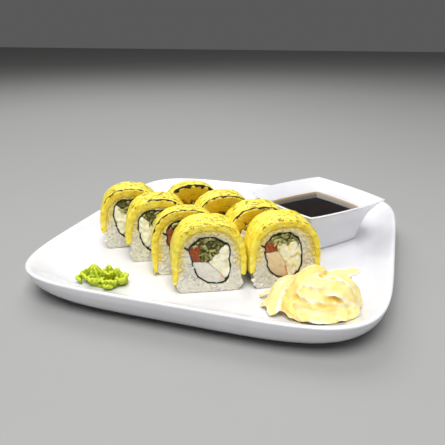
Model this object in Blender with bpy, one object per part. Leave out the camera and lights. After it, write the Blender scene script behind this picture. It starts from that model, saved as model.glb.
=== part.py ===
"""Uramaki platter: eight slices of a cheese-topped inside-out roll on a square plate.

The plate also carries a flared square dish of soy sauce, a rosette of wasabi and a heap of pickled
ginger. Units are metres and +Z is up. The origin is on the table, under the middle of the plate.
The near edge of the plate faces -Y.
"""

import math
import random
from typing import NamedTuple

import bmesh
import bpy
from mathutils import Vector

MM = 0.001
GAP = 0.3 * MM

# Plate: a square with rounded corners, a turned-up rim and a foot ring
PLATE_HALF = 105 * MM
PLATE_HEIGHT = 19 * MM
PLATE_FLOOR = 10 * MM
PLATE_THICK = 6.4 * MM
PLATE_FLOOR_HALF = 86 * MM
FOOT_HALF = 90 * MM
FOOT_WIDTH = 5 * MM
PLATE_SQUARENESS = 5.7
FOOT_SQUARENESS = 4.6
PLATE_AROUND = 36

# Sauce dish: a square flared bowl that stands on the plate with one corner near +X
DISH_PLACE = (50.7 * MM, 27.3 * MM)
DISH_TURN = math.radians(5.8)
DISH_FOOT_REACH = 28.8 * MM
DISH_RIM_REACH = 45.7 * MM
DISH_HEIGHT = 28.7 * MM
DISH_SQUARENESS = 1.12
DISH_AROUND = 24
SAUCE_REACH = 32.5 * MM
SAUCE_DEPTH_BELOW_RIM = 8.0 * MM
SAUCE_FLOOR = 7.0 * MM

# Slices: an arch of rice round a seaweed ring, with melted cheese over the arch
CHEESE_THICK = 3.0 * MM
SHOULDER = 15.0 * MM
ARCH_ROUNDNESS = 2.5
STATIONS = 28
GRAIN_RELIEF = 0.55 * MM
RING_HALF = 11.2 * MM
RING_HALF_HEIGHT = 14.0 * MM
RING_ROUNDNESS = 2.7
RING_TAPER = 0.13
SEAM_REACH = 2.6 * MM
NORI_THICK = 0.8 * MM
JUNCTION_SIDE = -3.6 * MM

# Wasabi rosette and ginger heap
WASABI_PLACE = (-50.5 * MM, -80.5 * MM)
GINGER_PLACE = (67.0 * MM, -67.5 * MM)
GINGER_REACH = (22.5 * MM, 17.5 * MM)
GINGER_HEIGHT = 17.5 * MM
GINGER_SLICE_THICK = 1.3 * MM
RIM_CLEARANCE = 0.7 * MM


class Finish(NamedTuple):
    """Colour (linear), roughness and metallic value of one material."""

    colour: tuple
    roughness: float
    metallic: float


FINISHES = {
    "porcelain": Finish((0.82, 0.81, 0.79), 0.18, 0.0),
    "dish_porcelain": Finish((0.80, 0.79, 0.77), 0.18, 0.0),
    "soy_sauce": Finish((0.020, 0.014, 0.010), 0.05, 0.0),
    "wasabi_paste": Finish((0.42, 0.56, 0.03), 0.55, 0.0),
    "pickled_ginger": Finish((0.90, 0.74, 0.26), 0.35, 0.0),
    "melted_cheese": Finish((0.85, 0.66, 0.06), 0.35, 0.0),
    "sushi_rice": Finish((0.66, 0.63, 0.52), 0.50, 0.0),
    "nori_seaweed": Finish((0.012, 0.020, 0.012), 0.45, 0.0),
    "cucumber": Finish((0.12, 0.20, 0.04), 0.40, 0.0),
    "salmon": Finish((0.42, 0.08, 0.03), 0.40, 0.0),
    "crab_stick": Finish((0.62, 0.58, 0.52), 0.45, 0.0),
    "cream_cheese": Finish((0.82, 0.80, 0.64), 0.55, 0.0),
}


class Slice(NamedTuple):
    """One slice of the roll, with its sizes in millimetres.

    x and y place the middle of its front face's foot, and turn is the angle in degrees by which
    that face looks away from -Y. left and right are the heights at which the cheese ends, drop is
    how far the crest falls towards the back, and seam is the ring's station with the overlap.
    cream, cucumber and salmon are the directions in which those fillings begin, in degrees from
    the slice's right, round the point in which the fillings meet.
    """

    name: str
    x: float
    y: float
    turn: float
    half: float
    length: float
    drop: float
    left: float
    right: float
    ring_shift: float
    seam: int
    cream: float
    cucumber: float
    salmon: float
    mirrored: bool


SLICES = (
    Slice("l1", 10.3, -71.8, 26.0, 20.5, 19.0, 0.5, 6.0, 10.5, 0.8, 10, -42, 35, 103, False),
    Slice("l2", -9.5, -55.6, 26.0, 20.4, 16.5, 2.5, 3.5, 11.0, 0.3, 11, -40, 38, 108, False),
    Slice("l3", -32.7, -43.8, 28.0, 20.2, 18.0, 0.8, 14.0, 12.0, -0.5, 9, -58, 44, 106, True),
    Slice("l4", -58.1, -30.5, 30.0, 20.0, 18.5, 0.5, 12.0, 12.0, 0.4, 10, -56, 40, 104, True),
    Slice("r1", 47.8, -53.6, 27.0, 20.2, 19.0, 0.5, 10.5, 12.0, -1.0, 7, -58, 50, 110, False),
    Slice("r2", 29.3, -38.2, 28.0, 20.0, 17.5, 0.5, 11.0, 9.0, -0.4, 8, -46, 36, 104, True),
    Slice("r3", 4.1, -24.9, 30.0, 19.8, 16.5, 0.8, 12.0, 10.0, 0.5, 10, -44, 40, 106, False),
    Slice("r4", -22.8, -10.0, 30.0, 19.8, 16.0, 1.5, 11.0, 9.0, 0.2, 12, -48, 38, 102, False),
)
SLICE_HEIGHT = 40 * MM
RING_CENTRE_HEIGHT = 19.3 * MM

SALMON_END = 180.0
JOINED_FILLING_SLICE = "r4"


def clear_scene():
    """Remove every object that is there."""
    for thing in list(bpy.data.objects):
        bpy.data.objects.remove(thing, do_unlink=True)


def make_finish(name):
    """Return the Principled material of that name."""
    finish = FINISHES[name]
    material = bpy.data.materials.new(name)
    material.use_nodes = True
    shader = material.node_tree.nodes["Principled BSDF"]
    shader.inputs["Base Color"].default_value = (*finish.colour, 1.0)
    shader.inputs["Roughness"].default_value = finish.roughness
    shader.inputs["Metallic"].default_value = finish.metallic
    material.diffuse_color = (*finish.colour, 1.0)
    return material


def finish_of(name):
    """Return the material, made on first use."""
    return bpy.data.materials.get(name) or make_finish(name)


def new_object(name, bm, finish, group, holder=None, sharp=35.0):
    """Turn the bmesh into a smooth-shaded object in the collection, under its holder if it has one."""
    bmesh.ops.recalc_face_normals(bm, faces=bm.faces)
    if bm.calc_volume(signed=True) < 0:
        bmesh.ops.reverse_faces(bm, faces=bm.faces)
    mesh = bpy.data.meshes.new(name)
    bm.to_mesh(mesh)
    bm.free()
    mesh.shade_smooth()
    mesh.set_sharp_from_angle(angle=math.radians(sharp))
    mesh.materials.append(finish_of(finish))
    thing = bpy.data.objects.new(name, mesh)
    thing.parent = holder
    group.objects.link(thing)
    return thing


def loft(rings, endless=False):
    """Return a bmesh that joins the rings in order, capped at both ends or closed on itself."""
    bm = bmesh.new()
    rows = [[bm.verts.new(point) for point in ring] for ring in rings]
    pairs = list(zip(rows, rows[1:]))
    if endless:
        pairs.append((rows[-1], rows[0]))
    for first, second in pairs:
        count = len(first)
        for i in range(count):
            j = (i + 1) % count
            bm.faces.new((first[i], first[j], second[j], second[i]))
    if not endless:
        bm.faces.new(rows[0])
        bm.faces.new(rows[-1])
    return bm


def squared_ring(reach, height, exponent, around, turn=0.0, middle=(0.0, 0.0)):
    """Points of a superellipse: square with round corners above 2, a diamond near 1."""
    points = []
    for i in range(around):
        angle = 2 * math.pi * i / around
        c, s = math.cos(angle), math.sin(angle)
        x = math.copysign(abs(c) ** (2 / exponent), c) * reach
        y = math.copysign(abs(s) ** (2 / exponent), s) * reach
        points.append(
            (
                middle[0] + x * math.cos(turn) - y * math.sin(turn),
                middle[1] + x * math.sin(turn) + y * math.cos(turn),
                height,
            )
        )
    return points


def plate_outside():
    """Half-sides and heights from under the middle, over the foot ring and up the outer wall."""
    under = PLATE_FLOOR - PLATE_THICK
    foot_in = FOOT_HALF - FOOT_WIDTH
    half, top = PLATE_HALF, PLATE_HEIGHT
    return (
        (foot_in - 4 * MM, under),
        (foot_in - 1 * MM, 0.6 * MM),
        (foot_in, 0.0),
        (FOOT_HALF, 0.0),
        (FOOT_HALF + 1.6 * MM, 0.5 * MM),
        (half - 10.4 * MM, 2.2 * MM),
        (half - 6 * MM, 4.8 * MM),
        (half - 2.4 * MM, 8.8 * MM),
        (half - 0.6 * MM, top - 5.5 * MM),
        (half - 0.1 * MM, top - 2.2 * MM),
        (half, top - 0.6 * MM),
    )


def plate_inside():
    """Half-sides and heights over the rim and in to the floor."""
    half, top, floor = PLATE_HALF, PLATE_HEIGHT, PLATE_FLOOR
    return (
        (half - 1.0 * MM, top),
        (half - 2.6 * MM, top - 0.5 * MM),
        (half - 7 * MM, floor + 5.2 * MM),
        (half - 12 * MM, floor + 1.8 * MM),
        (half - 16 * MM, floor + 0.4 * MM),
        (PLATE_FLOOR_HALF, floor),
    )


def build_plate(group):
    """The plate, whose corners are rounder at the foot than at the rim."""
    rings = []
    for half, height in plate_outside():
        squareness = FOOT_SQUARENESS + (PLATE_SQUARENESS - FOOT_SQUARENESS) * height / PLATE_HEIGHT
        rings.append(squared_ring(half, height, squareness, PLATE_AROUND))
    for half, height in plate_inside():
        rings.append(squared_ring(half, height, PLATE_SQUARENESS, PLATE_AROUND))
    return new_object("plate", loft(rings), "porcelain", group)


def plate_top(x, y):
    """Height of the plate's upper side at a place, read from its inside's profile."""
    half = (abs(x) ** PLATE_SQUARENESS + abs(y) ** PLATE_SQUARENESS) ** (1 / PLATE_SQUARENESS)
    inner = plate_inside()
    if half <= inner[-1][0]:
        return PLATE_FLOOR
    for (outer_half, outer_height), (inner_half, inner_height) in zip(inner, inner[1:]):
        if inner_half <= half <= outer_half:
            part = (half - inner_half) / (outer_half - inner_half)
            return inner_height + part * (outer_height - inner_height)
    return PLATE_HEIGHT


def dish_ring(reach, height, squareness=DISH_SQUARENESS, around=DISH_AROUND):
    """A ring of the dish, which is a square on its corner."""
    base = PLATE_FLOOR + GAP
    return squared_ring(reach, base + height, squareness, around, DISH_TURN, DISH_PLACE)


def dish_outer_reach(height):
    """How far the outside's corner is from the middle: it leans out more towards the rim."""
    rise = height / DISH_HEIGHT
    return DISH_FOOT_REACH + (DISH_RIM_REACH - DISH_FOOT_REACH) * (0.35 * rise + 0.65 * rise**3)


def build_dish(group):
    """The flared dish: up the outside, over the thin rim and down to the inner floor."""
    level = DISH_HEIGHT - SAUCE_DEPTH_BELOW_RIM
    heights = [DISH_HEIGHT * part for part in (0.0, 0.25, 0.5, 0.7, 0.85, 0.95)]
    rings = [dish_ring(dish_outer_reach(height), height) for height in heights]
    rings += [
        dish_ring(DISH_RIM_REACH, DISH_HEIGHT - 0.6 * MM),
        dish_ring(DISH_RIM_REACH - 0.6 * MM, DISH_HEIGHT),
        dish_ring(DISH_RIM_REACH - 2.2 * MM, DISH_HEIGHT),
        dish_ring(SAUCE_REACH + 5.0 * MM, level + 4.0 * MM),
        dish_ring(SAUCE_REACH + 2 * GAP, level + 0.3 * MM),
        dish_ring(SAUCE_REACH - 5.5 * MM, SAUCE_FLOOR + 4.0 * MM),
        dish_ring(SAUCE_REACH - 9.5 * MM, SAUCE_FLOOR),
    ]
    return new_object("sauce_dish", loft(rings), "dish_porcelain", group)


def build_sauce(group):
    """The soy sauce, a solid from the dish's inner floor up to its level."""
    level = DISH_HEIGHT - SAUCE_DEPTH_BELOW_RIM
    inset = 2 * GAP
    rings = [
        dish_ring(SAUCE_REACH - 9.5 * MM - inset, SAUCE_FLOOR + GAP),
        dish_ring(SAUCE_REACH - 5.5 * MM - inset, SAUCE_FLOOR + 4.0 * MM + GAP),
        dish_ring(SAUCE_REACH - GAP, level),
    ]
    return new_object("soy_sauce", loft(rings), "soy_sauce", group)


def arch_outline(half, height, foot_half, steps=96):
    """Closed outline of a slice as seen from the front: flat foot, upright sides, rounded top."""
    points = []
    for i in range(steps + 1):
        angle = math.pi * i / steps
        c, s = math.cos(angle), math.sin(angle)
        x = math.copysign(abs(c) ** (2 / ARCH_ROUNDNESS), c) * half
        points.append((x, SHOULDER + (height - SHOULDER) * s ** (2 / ARCH_ROUNDNESS)))
    corner = 2.0 * MM
    points += [(-foot_half, corner), (-foot_half + corner, 0.0)]
    points += [(foot_half - corner, 0.0), (foot_half, corner)]
    return points


def reach_along(outline, middle, angle):
    """Distance from the middle to the outline in the direction of the angle."""
    c, s = math.cos(angle), math.sin(angle)
    best = 0.0
    for (ax, ay), (bx, by) in zip(outline, outline[1:] + outline[:1]):
        ax, ay, bx, by = ax - middle[0], ay - middle[1], bx - middle[0], by - middle[1]
        across = (bx - ax) * s - (by - ay) * c
        if abs(across) < 1e-12:
            continue
        part = (ay * c - ax * s) / across
        along = (ax + part * (bx - ax)) * c + (ay + part * (by - ay)) * s
        if -1e-9 <= part <= 1 + 1e-9 and along > best:
            best = along
    return best


def ring_reach(angle):
    """Radius of the seaweed ring's outside: a rounded oblong, a little wider above."""
    c, s = abs(math.cos(angle)), abs(math.sin(angle))
    wide = (c / RING_HALF) ** RING_ROUNDNESS
    tall = (s / RING_HALF_HEIGHT) ** RING_ROUNDNESS
    return (wide + tall) ** (-1 / RING_ROUNDNESS) * (1 + RING_TAPER * math.sin(angle) * c)


class SliceShape:
    """The outlines of one slice, as seen from the front, and the way from them into its own space."""

    def __init__(self, place):
        self.place = place
        self.half = place.half * MM
        self.length = place.length * MM
        self.fall = place.drop * MM / SLICE_HEIGHT / self.length
        self.middle = (place.ring_shift * MM, RING_CENTRE_HEIGHT)
        self.rice_half = self.half - CHEESE_THICK - GAP
        foot = self.half - 2 * MM
        self.rice_outline = arch_outline(self.rice_half, SLICE_HEIGHT - CHEESE_THICK - GAP, foot)
        self.top_outline = arch_outline(self.half, SLICE_HEIGHT, foot)
        self.random = random.Random(place.name)
        self.angles = [2 * math.pi * i / STATIONS for i in range(STATIONS)]

    def point(self, angle, reach, depth):
        """The point at that angle and reach from the ring's middle, depth behind the front."""
        x = self.middle[0] + reach * math.cos(angle)
        z = self.middle[1] + reach * math.sin(angle)
        return (x, depth, z * (1 - self.fall * depth))

    def rice_reach(self, angle):
        """Reach of the rice's outside."""
        return reach_along(self.rice_outline, self.middle, angle)

    def hole_reach(self, station):
        """Reach of the seaweed's outside, with the overlap's point at its seam."""
        reach = ring_reach(self.angles[station])
        if station == self.place.seam:
            reach += SEAM_REACH
        return reach

    def inner_reach(self, station):
        """Reach of the seaweed's inside."""
        return ring_reach(self.angles[station]) - NORI_THICK

    def bare(self, angle, reach):
        """Whether the rice's outside is bare there, under the cheese's lower edge."""
        height = self.middle[1] + reach * math.sin(angle)
        edge = self.place.left if math.cos(angle) < 0 else self.place.right
        return 0.5 * MM < height < (edge - 2.5) * MM


def build_rice(shape, group, holder):
    """The arch of rice round the ring, with bumps of a grain's size where it is bare."""
    draw = shape.random.uniform
    rings = []
    for station, angle in enumerate(shape.angles):
        hole = shape.hole_reach(station) + GAP
        rim = shape.rice_reach(angle)
        swell = draw(0.0, 1.2) * MM if shape.bare(angle, rim) else 0.0
        ring = []
        for part in (0.0, 0.35, 0.7, 1.0):
            rough = draw(-1.0, 1.0) * GRAIN_RELIEF if 0 < part < 1 else 0.0
            ring.append(shape.point(angle, hole + part * (rim - hole), rough))
        ring.append(shape.point(angle, rim + swell, shape.length / 2))
        for part in (1.0, 0.65, 0.3, 0.0):
            rough = draw(-1.0, 1.0) * GRAIN_RELIEF if 0 < part < 1 else 0.0
            ring.append(shape.point(angle, hole + part * (rim - hole), shape.length + rough))
        rings.append(ring)
    name = shape.place.name + "_rice"
    return new_object(name, loft(rings, endless=True), "sushi_rice", group, holder)


def cheese_angles(shape):
    """Angles of the cheese's sections, from its right lower edge over the top to its left one."""
    low, side = RING_CENTRE_HEIGHT, shape.middle[0]
    right = math.atan2(shape.place.right * MM - low, shape.rice_half - side)
    left = math.pi - math.atan2(shape.place.left * MM - low, shape.rice_half + side)
    between = [i * 2 * math.pi / STATIONS for i in range(-STATIONS // 4, 3 * STATIONS // 4)]
    margin = math.radians(3)
    return [right] + [a for a in between if right + margin < a < left - margin] + [left]


def build_cheese(shape, group, holder):
    """The melted cheese: a thick skin over the arch, crowned, uneven, and thinner where it ends."""
    draw = shape.random.uniform
    angles = cheese_angles(shape)
    rings = []
    for i, angle in enumerate(angles):
        inner = shape.rice_reach(angle) + GAP * 1.3
        outer = reach_along(shape.top_outline, shape.middle, angle)
        edge = i in (0, len(angles) - 1)
        thick = 0.55 * CHEESE_THICK if edge else outer - inner
        crown = thick + (0.0 if edge else draw(-0.1, 0.35) * MM)
        front, back = -draw(0.2, 0.6) * MM, shape.length + draw(0.1, 0.5) * MM
        rings.append(
            [
                shape.point(angle, inner, front),
                shape.point(angle, inner + 0.8 * thick, front - 0.3 * MM),
                shape.point(angle, inner + crown, 0.3 * shape.length),
                shape.point(angle, inner + crown - 0.15 * MM, 0.7 * shape.length),
                shape.point(angle, inner + 0.8 * thick, back),
                shape.point(angle, inner, back),
            ]
        )
    return new_object(shape.place.name + "_cheese", loft(rings), "melted_cheese", group, holder)


def build_nori(shape, group, holder):
    """The seaweed ring, which runs through the slice, with the point of its overlap."""
    rings = []
    for station, angle in enumerate(shape.angles):
        outer, inner = shape.hole_reach(station), shape.inner_reach(station)
        front, back = -0.3 * MM, shape.length + 0.3 * MM
        rings.append(
            [
                shape.point(angle, inner, front),
                shape.point(angle, outer, front),
                shape.point(angle, outer, back),
                shape.point(angle, inner, back),
            ]
        )
    name = shape.place.name + "_nori"
    return new_object(name, loft(rings, endless=True), "nori_seaweed", group, holder, sharp=60.0)


def wedge_outline(shape, start, end):
    """Outline of one filling: the part of the ring's inside between two directions."""
    inside = []
    for station, angle in enumerate(shape.angles):
        reach = shape.inner_reach(station) - GAP
        inside.append((reach * math.cos(angle), reach * math.sin(angle)))
    half_angle = (end - start) / 2
    towards = (start + end) / 2
    set_back = GAP / math.sin(half_angle)
    corner = (
        JUNCTION_SIDE * (-1 if shape.place.mirrored else 1) + set_back * math.cos(towards),
        set_back * math.sin(towards),
    )
    steps = max(4, round(math.degrees(end - start) / 16))
    outline = [corner]
    for i in range(steps + 1):
        angle = start + (end - start) * i / steps
        reach = reach_along(inside, corner, angle)
        outline.append((corner[0] + reach * math.cos(angle), corner[1] + reach * math.sin(angle)))
    return outline


def build_filling(shape, name, finish, start, end, group, holder):
    """One filling, a wedge of the ring's inside that runs through the slice."""
    start, end = math.radians(start), math.radians(end)
    if shape.place.mirrored:
        start, end = math.pi - end, math.pi - start
    outline = wedge_outline(shape, start, end)
    front = shape.random.uniform(-0.5, 0.4) * MM
    back = shape.length - shape.random.uniform(-0.5, 0.4) * MM
    rings = []
    for depth in (front, back):
        ring = []
        for x, z in outline:
            height = (shape.middle[1] + z) * (1 - shape.fall * depth)
            ring.append((shape.middle[0] + x, depth, height))
        rings.append(ring)
    full_name = f"{shape.place.name}_{name}"
    return new_object(full_name, loft(rings), finish, group, holder)


def build_fillings(shape, group, holder):
    """The four fillings. In the rearmost slice, cucumber and salmon are one solid."""
    place = shape.place
    turn = place.cream + 360.0
    wedges = [
        ("cream_cheese", "cream_cheese", place.cream, place.cucumber),
        ("surimi", "crab_stick", SALMON_END, turn),
    ]
    if place.name == JOINED_FILLING_SLICE:
        wedges.append(("cucumber_salmon", "cucumber", place.cucumber, SALMON_END))
    else:
        wedges.append(("cucumber", "cucumber", place.cucumber, place.salmon))
        wedges.append(("salmon", "salmon", place.salmon, SALMON_END))
    for name, finish, start, end in wedges:
        build_filling(shape, name, finish, start, end, group, holder)


def build_slice(place, group):
    """One slice on the plate's floor, all of it held by an empty at its front face's foot."""
    holder = bpy.data.objects.new(place.name + "_place", None)
    holder.location = (place.x * MM, place.y * MM, PLATE_FLOOR + GAP)
    holder.rotation_euler = (0.0, 0.0, math.radians(place.turn))
    group.objects.link(holder)
    shape = SliceShape(place)
    build_rice(shape, group, holder)
    build_cheese(shape, group, holder)
    build_nori(shape, group, holder)
    build_fillings(shape, group, holder)


def fuse(name, core, pieces, finish, group):
    """Join the pieces to the core by one Boolean union, and keep the one outer body."""
    union = core.modifiers.new("join the pieces", "BOOLEAN")
    union.operation = "UNION"
    union.operand_type = "COLLECTION"
    union.collection = pieces
    union.solver = "MANIFOLD"
    bpy.context.view_layer.update()
    evaluated = core.evaluated_get(bpy.context.evaluated_depsgraph_get())
    joined = bmesh.new()
    joined.from_mesh(evaluated.to_mesh())
    for piece in list(pieces.objects):
        bpy.data.objects.remove(piece, do_unlink=True)
    bpy.data.collections.remove(pieces)
    bpy.data.objects.remove(core, do_unlink=True)
    bmesh.ops.triangulate(joined, faces=joined.faces)
    drop_loose_bodies(joined)
    return new_object(name, joined, finish, group)


def drop_loose_bodies(bm):
    """Keep only the connected body with the most faces, so no scrap or sealed hollow stays."""
    seen, bodies = set(), []
    for face in bm.faces:
        if face in seen:
            continue
        body, waiting = [], [face]
        seen.add(face)
        while waiting:
            current = waiting.pop()
            body.append(current)
            for edge in current.edges:
                for other in edge.link_faces:
                    if other not in seen:
                        seen.add(other)
                        waiting.append(other)
        bodies.append(body)
    bodies.sort(key=len)
    for body in bodies[:-1]:
        bmesh.ops.delete(bm, geom=body, context="FACES")


def dome(name, middle, reach, height, base, finish, group):
    """A low closed mound with a flat foot, the core of a heap."""
    bm = bmesh.new()
    bmesh.ops.create_uvsphere(bm, u_segments=14, v_segments=8, radius=1.0)
    for vert in bm.verts:
        x, y, z = vert.co
        x, y = middle[0] + x * reach[0], middle[1] + y * reach[1]
        slope = plate_top(x, y) - PLATE_FLOOR
        foot = base + (slope + RIM_CLEARANCE if slope > 0 else 0.0)
        vert.co = (x, y, max(base + z * height, foot))
    bmesh.ops.remove_doubles(bm, verts=bm.verts, dist=0.05 * MM)
    flat = [face for face in bm.faces if all(v.co.z < base + 0.01 * MM for v in face.verts)]
    bmesh.ops.delete(bm, geom=flat, context="FACES_ONLY")
    rim = [edge for edge in bm.edges if edge.is_boundary]
    loose = [vert for vert in bm.verts if not vert.link_faces]
    bmesh.ops.delete(bm, geom=loose, context="VERTS")
    rim = [edge for edge in rim if edge.is_valid]
    bmesh.ops.contextual_create(bm, geom=rim)
    return new_object(name, bm, finish, group)


def ribbon_section(point, along, up, width, thick, crown=0.0):
    """Six points round a flat strip's section, set across its run."""
    across = along.cross(up).normalized()
    lift = across.cross(along).normalized()
    half = width / 2
    middle = lift * crown
    return [
        point - across * half,
        point - across * half * 0.5 + lift * thick / 2 + middle * 0.7,
        point + across * half * 0.5 + lift * thick / 2 + middle * 0.7,
        point + across * half,
        point + across * half * 0.5 - lift * thick / 2 + middle * 0.7,
        point - across * half * 0.5 - lift * thick / 2 + middle * 0.7,
    ]


class Ruffle(NamedTuple):
    """A curled leaf of the rosette: millimetres from its middle, and degrees.

    The leaf runs on an arc of that radius from start through sweep, stands high, and leans
    outwards by lean.
    """

    x: float
    y: float
    z: float
    radius: float
    start: float
    sweep: float
    high: float
    lean: float


RUFFLES = (
    Ruffle(-7.0, 1.5, 5.2, 3.8, 20, 230, 7.6, 14),
    Ruffle(-9.5, -3.0, 3.6, 3.4, 60, 220, 5.6, 30),
    Ruffle(-11.6, -4.4, 2.0, 2.6, 110, 170, 3.2, 40),
    Ruffle(-2.5, -3.8, 2.9, 3.2, 150, 235, 4.8, 30),
    Ruffle(7.3, -3.6, 2.9, 3.9, 160, 240, 4.8, 32),
    Ruffle(-0.2, 3.7, 5.7, 3.0, 40, 240, 8.0, 12),
    Ruffle(5.6, 4.4, 5.2, 3.0, -60, 230, 7.4, 18),
    Ruffle(10.3, 1.8, 4.0, 3.2, -110, 220, 6.2, 28),
    Ruffle(1.6, -0.2, 4.8, 3.4, 170, 210, 5.0, 25),
)


def build_wasabi(group):
    """The rosette of wasabi: curled leaves fused to a low core."""
    base = PLATE_FLOOR + GAP
    middle = Vector((*WASABI_PLACE, base))
    core = dome("wasabi_core", WASABI_PLACE, (12.4 * MM, 6.6 * MM), 6.0 * MM, base, "wasabi_paste", group)
    pieces = bpy.data.collections.new("wasabi_leaves")
    bpy.context.scene.collection.children.link(pieces)
    steps = 5
    for i, leaf in enumerate(RUFFLES):
        rings = []
        for k in range(steps + 1):
            angle = math.radians(leaf.start + leaf.sweep * k / steps)
            out = Vector((math.cos(angle), math.sin(angle), 0.0))
            lean = math.radians(leaf.lean)
            up = Vector((0.0, 0.0, 1.0)) * math.cos(lean) + out * math.sin(lean)
            wave = 0.5 * MM * math.sin(2.6 * k + i)
            place = middle + Vector((leaf.x, leaf.y, leaf.z)) * MM + out * (leaf.radius * MM)
            along = Vector((-math.sin(angle), math.cos(angle), 0.0))
            taper = 0.6 + 0.4 * math.sin(math.pi * k / steps)
            high = leaf.high * MM * taper
            place.z = max(place.z + wave, base + 1.2 * MM + high / 2 * math.cos(lean))
            rings.append(ribbon_section(place, along, out * math.cos(lean), high, 2.2 * MM))
        new_object(f"leaf_{i}", loft(rings), "wasabi_paste", pieces)
    return fuse("wasabi", core, pieces, "wasabi_paste", group)


class GingerSlice(NamedTuple):
    """One thin slice of ginger, laid over the heap.

    Its middle line runs from start over a highest part to end, in millimetres from the heap's
    middle on the floor. width is in millimetres, and crown is how far it is folded along its middle.
    """

    start: tuple
    over: tuple
    end: tuple
    width: float
    crown: float


GINGER_SLICES = (
    GingerSlice((-10, 2, 13.0), (-19, 0, 9.5), (-21.5, -10, 3.0), 8.0, 0.8),
    GingerSlice((-14, 2, 9.0), (-23, 0, 3.8), (-29, -3, 1.7), 4.5, 0.4),
    GingerSlice((-15, -2, 8.0), (-22, -8, 3.4), (-25.5, -13, 1.9), 5.0, 0.4),
    GingerSlice((-12, 0, 12.5), (-18.5, -8, 7.8), (-17.5, -19.5, 2.1), 11.0, 0.8),
    GingerSlice((-12, 9, 9.0), (0, 14, 9.5), (12, 12, 7.0), 11.0, 1.2),
    GingerSlice((5, 10, 13.5), (15, 9, 9.0), (21, 7, 2.6), 10.0, 1.0),
    GingerSlice((5, 4, 16.5), (17, 3, 12.5), (22.5, 0, 2.3), 11.0, 1.4),
    GingerSlice((4, 2, 16.5), (12, 10, 15.0), (19.5, 17.5, 14.5), 8.5, 0.6),
    GingerSlice((-12, -9, 9.0), (-11.5, -15.5, 6.2), (-2, -20, 2.4), 7.5, 1.4),
    GingerSlice((-9.5, -12.5, 8.5), (0, -17, 8.8), (13, -13.5, 7.5), 6.5, 1.0),
    GingerSlice((-8.6, -8.4, 12.4), (0, -14.5, 12.5), (12, -11, 10.5), 6.5, 1.0),
    GingerSlice((12, -13, 8.5), (20, -9.5, 7.0), (19, -14, 3.6), 6.0, 0.6),
    GingerSlice((-8, -16.5, 4.6), (2.5, -18.8, 6.4), (12, -15.5, 4.4), 6.5, 1.4),
    GingerSlice((-5, -8, 16.6), (12, -8.5, 14.6), (21.4, -3.6, 4.9), 10.5, 2.0),
    GingerSlice((-12, 3, 11.5), (-5, 4, 17.6), (3, 6, 18.6), 8.5, 0.8),
    GingerSlice((-11.8, -13.4, 8.8), (-6, -5, 17.2), (3, 3, 19.6), 8.0, 1.6),
)


def ginger_clear(point, number):
    """Move a point of the heap off the slice of roll behind it and off the plate's floor and rim.

    Each slice of ginger, by its number, keeps a slightly different distance, so that no two of them
    lie in one plane.
    """
    front = SLICES[4]
    turn = math.radians(front.turn)
    away = Vector((math.sin(turn), -math.cos(turn), 0.0))
    space = (point - Vector((front.x * MM, front.y * MM, point.z))).dot(away)
    wanted = (2.4 + 0.06 * number) * MM
    if space < wanted and point.x < 70 * MM:
        point = point + away * (wanted - space)
    point.z = max(point.z, plate_top(point.x, point.y) + GAP + (0.7 + 0.06 * number) * MM)
    return point


def ginger_path(piece, part):
    """The point of a slice's middle line at that part of its length."""
    start, over, end = (Vector(place) * MM for place in (piece.start, piece.over, piece.end))
    pull = over * 2 - (start + end) / 2
    point = start * (1 - part) ** 2 + pull * (2 * part * (1 - part)) + end * part**2
    return point + Vector((*GINGER_PLACE, PLATE_FLOOR + GAP))


def build_ginger(group):
    """The heap of pickled ginger: thin folded slices fused to a core."""
    base = PLATE_FLOOR + GAP
    reach = (GINGER_REACH[0] * 0.85, GINGER_REACH[1])
    core = dome("ginger_core", GINGER_PLACE, reach, GINGER_HEIGHT, base, "pickled_ginger", group)
    pieces = bpy.data.collections.new("ginger_slices")
    bpy.context.scene.collection.children.link(pieces)
    steps = 5
    for i, piece in enumerate(GINGER_SLICES):
        rings = []
        for k in range(steps + 1):
            part = k / steps
            point = ginger_clear(ginger_path(piece, part), i)
            ahead = ginger_path(piece, min(1.0, part + 0.08)) - ginger_path(piece, max(0.0, part - 0.08))
            out = Vector((point.x - GINGER_PLACE[0], point.y - GINGER_PLACE[1], 0.0)) * 0.5
            up = (Vector((0.0, 0.0, 1.0)) * 12 * MM + out).normalized()
            width = piece.width * MM * (0.55 + 0.45 * math.sin(math.pi * (0.12 + 0.76 * part)))
            crown = piece.crown * MM * math.sin(math.pi * part)
            section = ribbon_section(point, ahead.normalized(), up, width, GINGER_SLICE_THICK, crown)
            rings.append([ginger_clear(corner, i) for corner in section])
        new_object(f"slice_{i}", loft(rings), "pickled_ginger", pieces)
    return fuse("pickled_ginger", core, pieces, "pickled_ginger", group)


def main():
    """Build the platter, from the plate up."""
    clear_scene()
    group = bpy.data.collections.new("uramaki_platter")
    bpy.context.scene.collection.children.link(group)
    build_plate(group)
    build_dish(group)
    build_sauce(group)
    for place in SLICES:
        build_slice(place, group)
    build_wasabi(group)
    build_ginger(group)


main()
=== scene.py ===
"""Looks of an uramaki platter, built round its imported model.

Eight slices of an inside-out roll under torched yellow cheese stand on a square white plate, with a
flared dish of soy sauce, a rosette of wasabi and a heap of pickled ginger. Lengths are metres, +Z is
up, and the plate's near edge faces -Y. Every shape is worked out from the sizes named here.
"""

import logging
import math
from dataclasses import dataclass, field
from enum import Enum
from functools import cached_property
from typing import Any, Callable, Sequence

import bmesh
import bpy
import numpy as np
from mathutils import Euler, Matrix
from mathutils.kdtree import KDTree


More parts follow.
